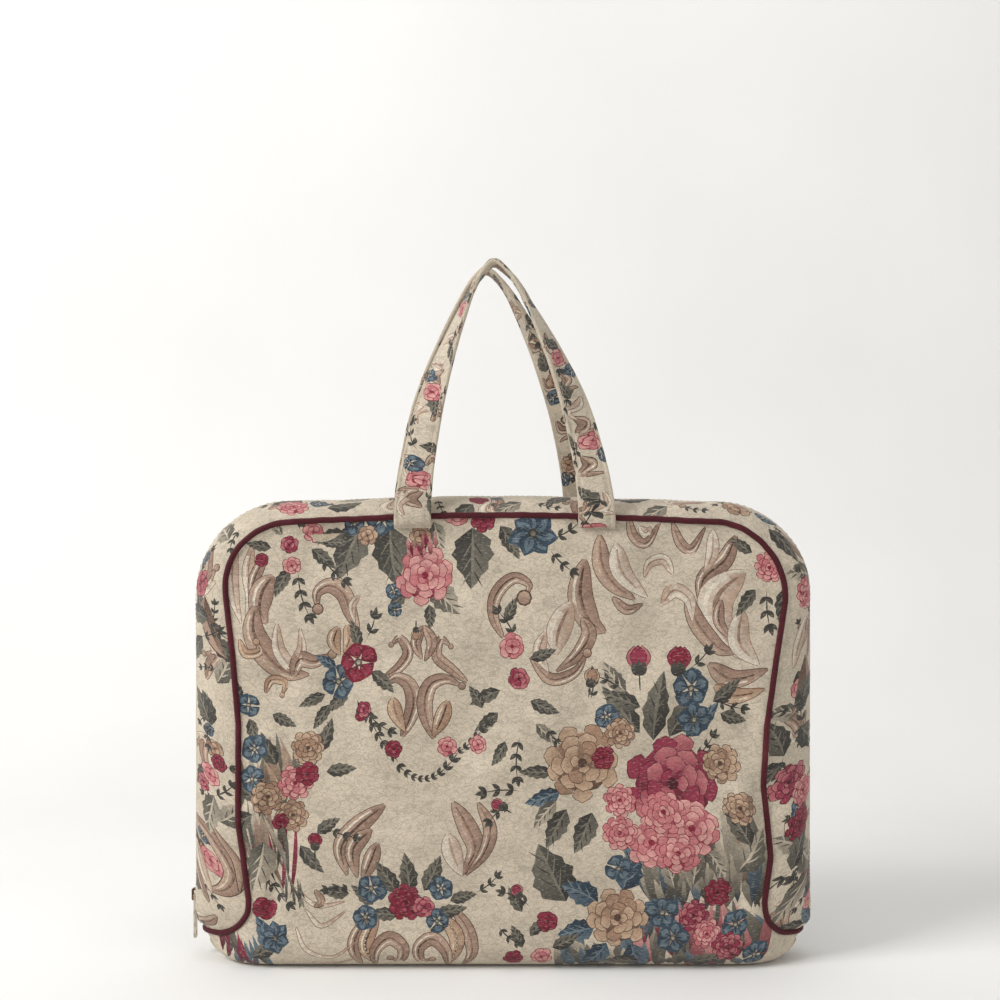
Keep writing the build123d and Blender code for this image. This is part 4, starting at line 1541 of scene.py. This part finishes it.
# Stitches: short threads that lie along a line on the cloth, by share along, rise and thickness
stitch_length = 2.6
stitch_pitch = 3.6
thread_radius = 0.26
thread_sides = 5
stitch_profile = ((-0.5, -0.35, 0.6), (-0.2, 0.12, 1.0), (0.2, 0.12, 1.0), (0.5, -0.35, 0.6))


def stitches(name, places, ways, outs):
    """A piece of many stitches, each a short thread bent into the cloth at its ends."""
    points = []
    faces = []
    for place, way, out in zip(places, ways, outs):
        across = np.cross(way, out)
        first = len(points)
        for share, rise, thick in stitch_profile:
            middle = place + way * stitch_length * share + out * rise * thread_radius * 2
            for side in range(thread_sides):
                angle = side * TAU / thread_sides
                ring = out * math.cos(angle) + across * math.sin(angle)
                points.append(middle + ring * thread_radius * thick)
        last = len(points) - thread_sides
        for ring in range(first, last, thread_sides):
            for side in range(thread_sides):
                one = ring + side
                two = ring + (side + 1) % thread_sides
                faces.append((one, two, two + thread_sides, one + thread_sides))
        faces.append(tuple(first + side for side in reversed(range(thread_sides))))
        faces.append(tuple(last + side for side in range(thread_sides)))
    new_piece(name, points, faces, thread_cloth)


def stitch_line(surface, one, two):
    """Stitch places, directions and normals along parameters on a surface."""
    places, normals = surface(one, two)
    return places, unit(np.gradient(places, axis=0)), normals


def edge_girth(inset, upper):
    """Length round the strap of a line that is inset from the edge, on one face."""
    girths = np.linspace(0, strap_girth / 2, 400)
    across = strap_section(girths)[0]
    found = np.interp(-(strap_width / 2 - inset), -across, girths)
    return found if upper else strap_girth - found


strap_margin = 6
strap_stitch_lengths = np.arange(strap_margin, strap_length - strap_margin, stitch_pitch)
for side_name, surface, turn in strap_sides:
    rows = []
    for upper in (True, False):
        for inset in (stitch_inset, strap_width - stitch_inset):
            girth = np.full(len(strap_stitch_lengths), edge_girth(inset, upper))
            places, ways, normals = stitch_line(surface, girth, strap_stitch_lengths)
            rows.append((places, ways, normals * turn))
    row_places, row_ways, row_outs = (np.concatenate([row[part] for row in rows]) for part in range(3))
    stitches(f"handle_{side_name}_stitches", row_places, row_ways, row_outs)

zip_stitch_share = 0.9
zip_margin = 4
zip_stitch_lengths = np.arange(zip_margin, strip_length - zip_margin, stitch_pitch)
for side_name, surface, turn in strip_sides:
    shares = np.full(len(zip_stitch_lengths), zip_stitch_share)
    places, ways, normals = stitch_line(surface, zip_stitch_lengths, shares)
    stitches(f"gusset_{side_name}_stitches", places, ways, normals * turn)

# Finishes of the CAD nodes that stay
node_finishes = {
    "lining": lining_cloth,
    "zip_tape_front": tape_cloth,
    "zip_tape_back": tape_cloth,
    "zip_top_stops": slider_metal,
    "zip_bottom_stop": slider_metal,
    "zip_slider": slider_metal,
    "zip_pull": pull_metal,
}
for node, finish in node_finishes.items():
    for material_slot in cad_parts[node].material_slots:
        material_slot.link = "OBJECT"
        material_slot.material = finish

# Stage: a pale floor that curves up into a backdrop
stage_half = 6.0
stage_front = -4.0
stage_back = 0.9
stage_bend = 0.5
stage_height = 5.0
stage_steps = 12
profile = [(stage_front, 0.0)]
for step in range(stage_steps + 1):
    angle = math.pi / 2 * step / stage_steps
    depth = stage_back - stage_bend + stage_bend * math.sin(angle)
    profile.append((depth, stage_bend - stage_bend * math.cos(angle)))
profile.append((stage_back, stage_height))
stage_points = [(x, y, z) for y, z in profile for x in (-stage_half, stage_half)]
stage_faces = [(2 * row, 2 * row + 1, 2 * row + 3, 2 * row + 2) for row in range(len(profile) - 1)]
stage_mesh = bpy.data.meshes.new("backdrop")
stage_mesh.from_pydata(stage_points, [], stage_faces)
stage_mesh.shade_smooth()
backdrop = placed("backdrop", stage_mesh)
stage_nodes = Nodes("backdrop_paper")
stage_place = stage_nodes.add("ShaderNodeTexCoord").outputs["Object"]
stage_tone = stage_nodes.span(stage_nodes.noise(stage_place, 3.0), 0.3, 0.7, 0, 1)
stage_colour = stage_nodes.mix(stage_tone, linear(233, 232, 229), linear(238, 237, 235))
stage_nodes.link(stage_colour, stage_nodes.shader.inputs["Base Color"])
stage_nodes.shader.inputs["Roughness"].default_value = 0.9
stage_mesh.materials.append(stage_nodes.material)

# Soft square lamps aimed at the bag: place, size and power
light_target = (0, 0, 0.2)
lamps = {
    "window_light": ((-2.1, -1.2, 1.75), 1.2, 65),
    "fill_light": ((1.8, -1.6, 0.9), 1.8, 13),
    "top_light": ((0.1, -0.3, 2.2), 1.4, 10),
}
for name, (place, size, power) in lamps.items():
    lamp = bpy.data.lights.new(name, "AREA")
    lamp.shape = "SQUARE"
    lamp.size = size
    lamp.energy = power
    holder = placed(name, lamp)
    holder.location = place
    away = unit(np.array(place) - np.array(light_target))
    holder.rotation_euler = (math.acos(away[2]), 0, math.atan2(away[0], -away[1]))
world = bpy.data.worlds.new("studio")
world.use_nodes = True
sky = world.node_tree.nodes["Background"].inputs
sky["Color"].default_value = (1, 1, 1, 1)
sky["Strength"].default_value = 0.28
bpy.context.scene.world = world

# Camera: level, straight at the front
camera_lens = 50.6
camera_sensor = 36
camera_place = (-0.002, -0.935, 0.302)
camera_data = bpy.data.cameras.new("camera")
camera_data.lens = camera_lens
camera_data.sensor_width = camera_sensor
camera = placed("camera", camera_data)
camera.location = camera_place
camera.rotation_euler = (math.pi / 2, 0, 0)
bpy.context.scene.camera = camera
bpy.context.scene.view_settings.view_transform = "Standard"
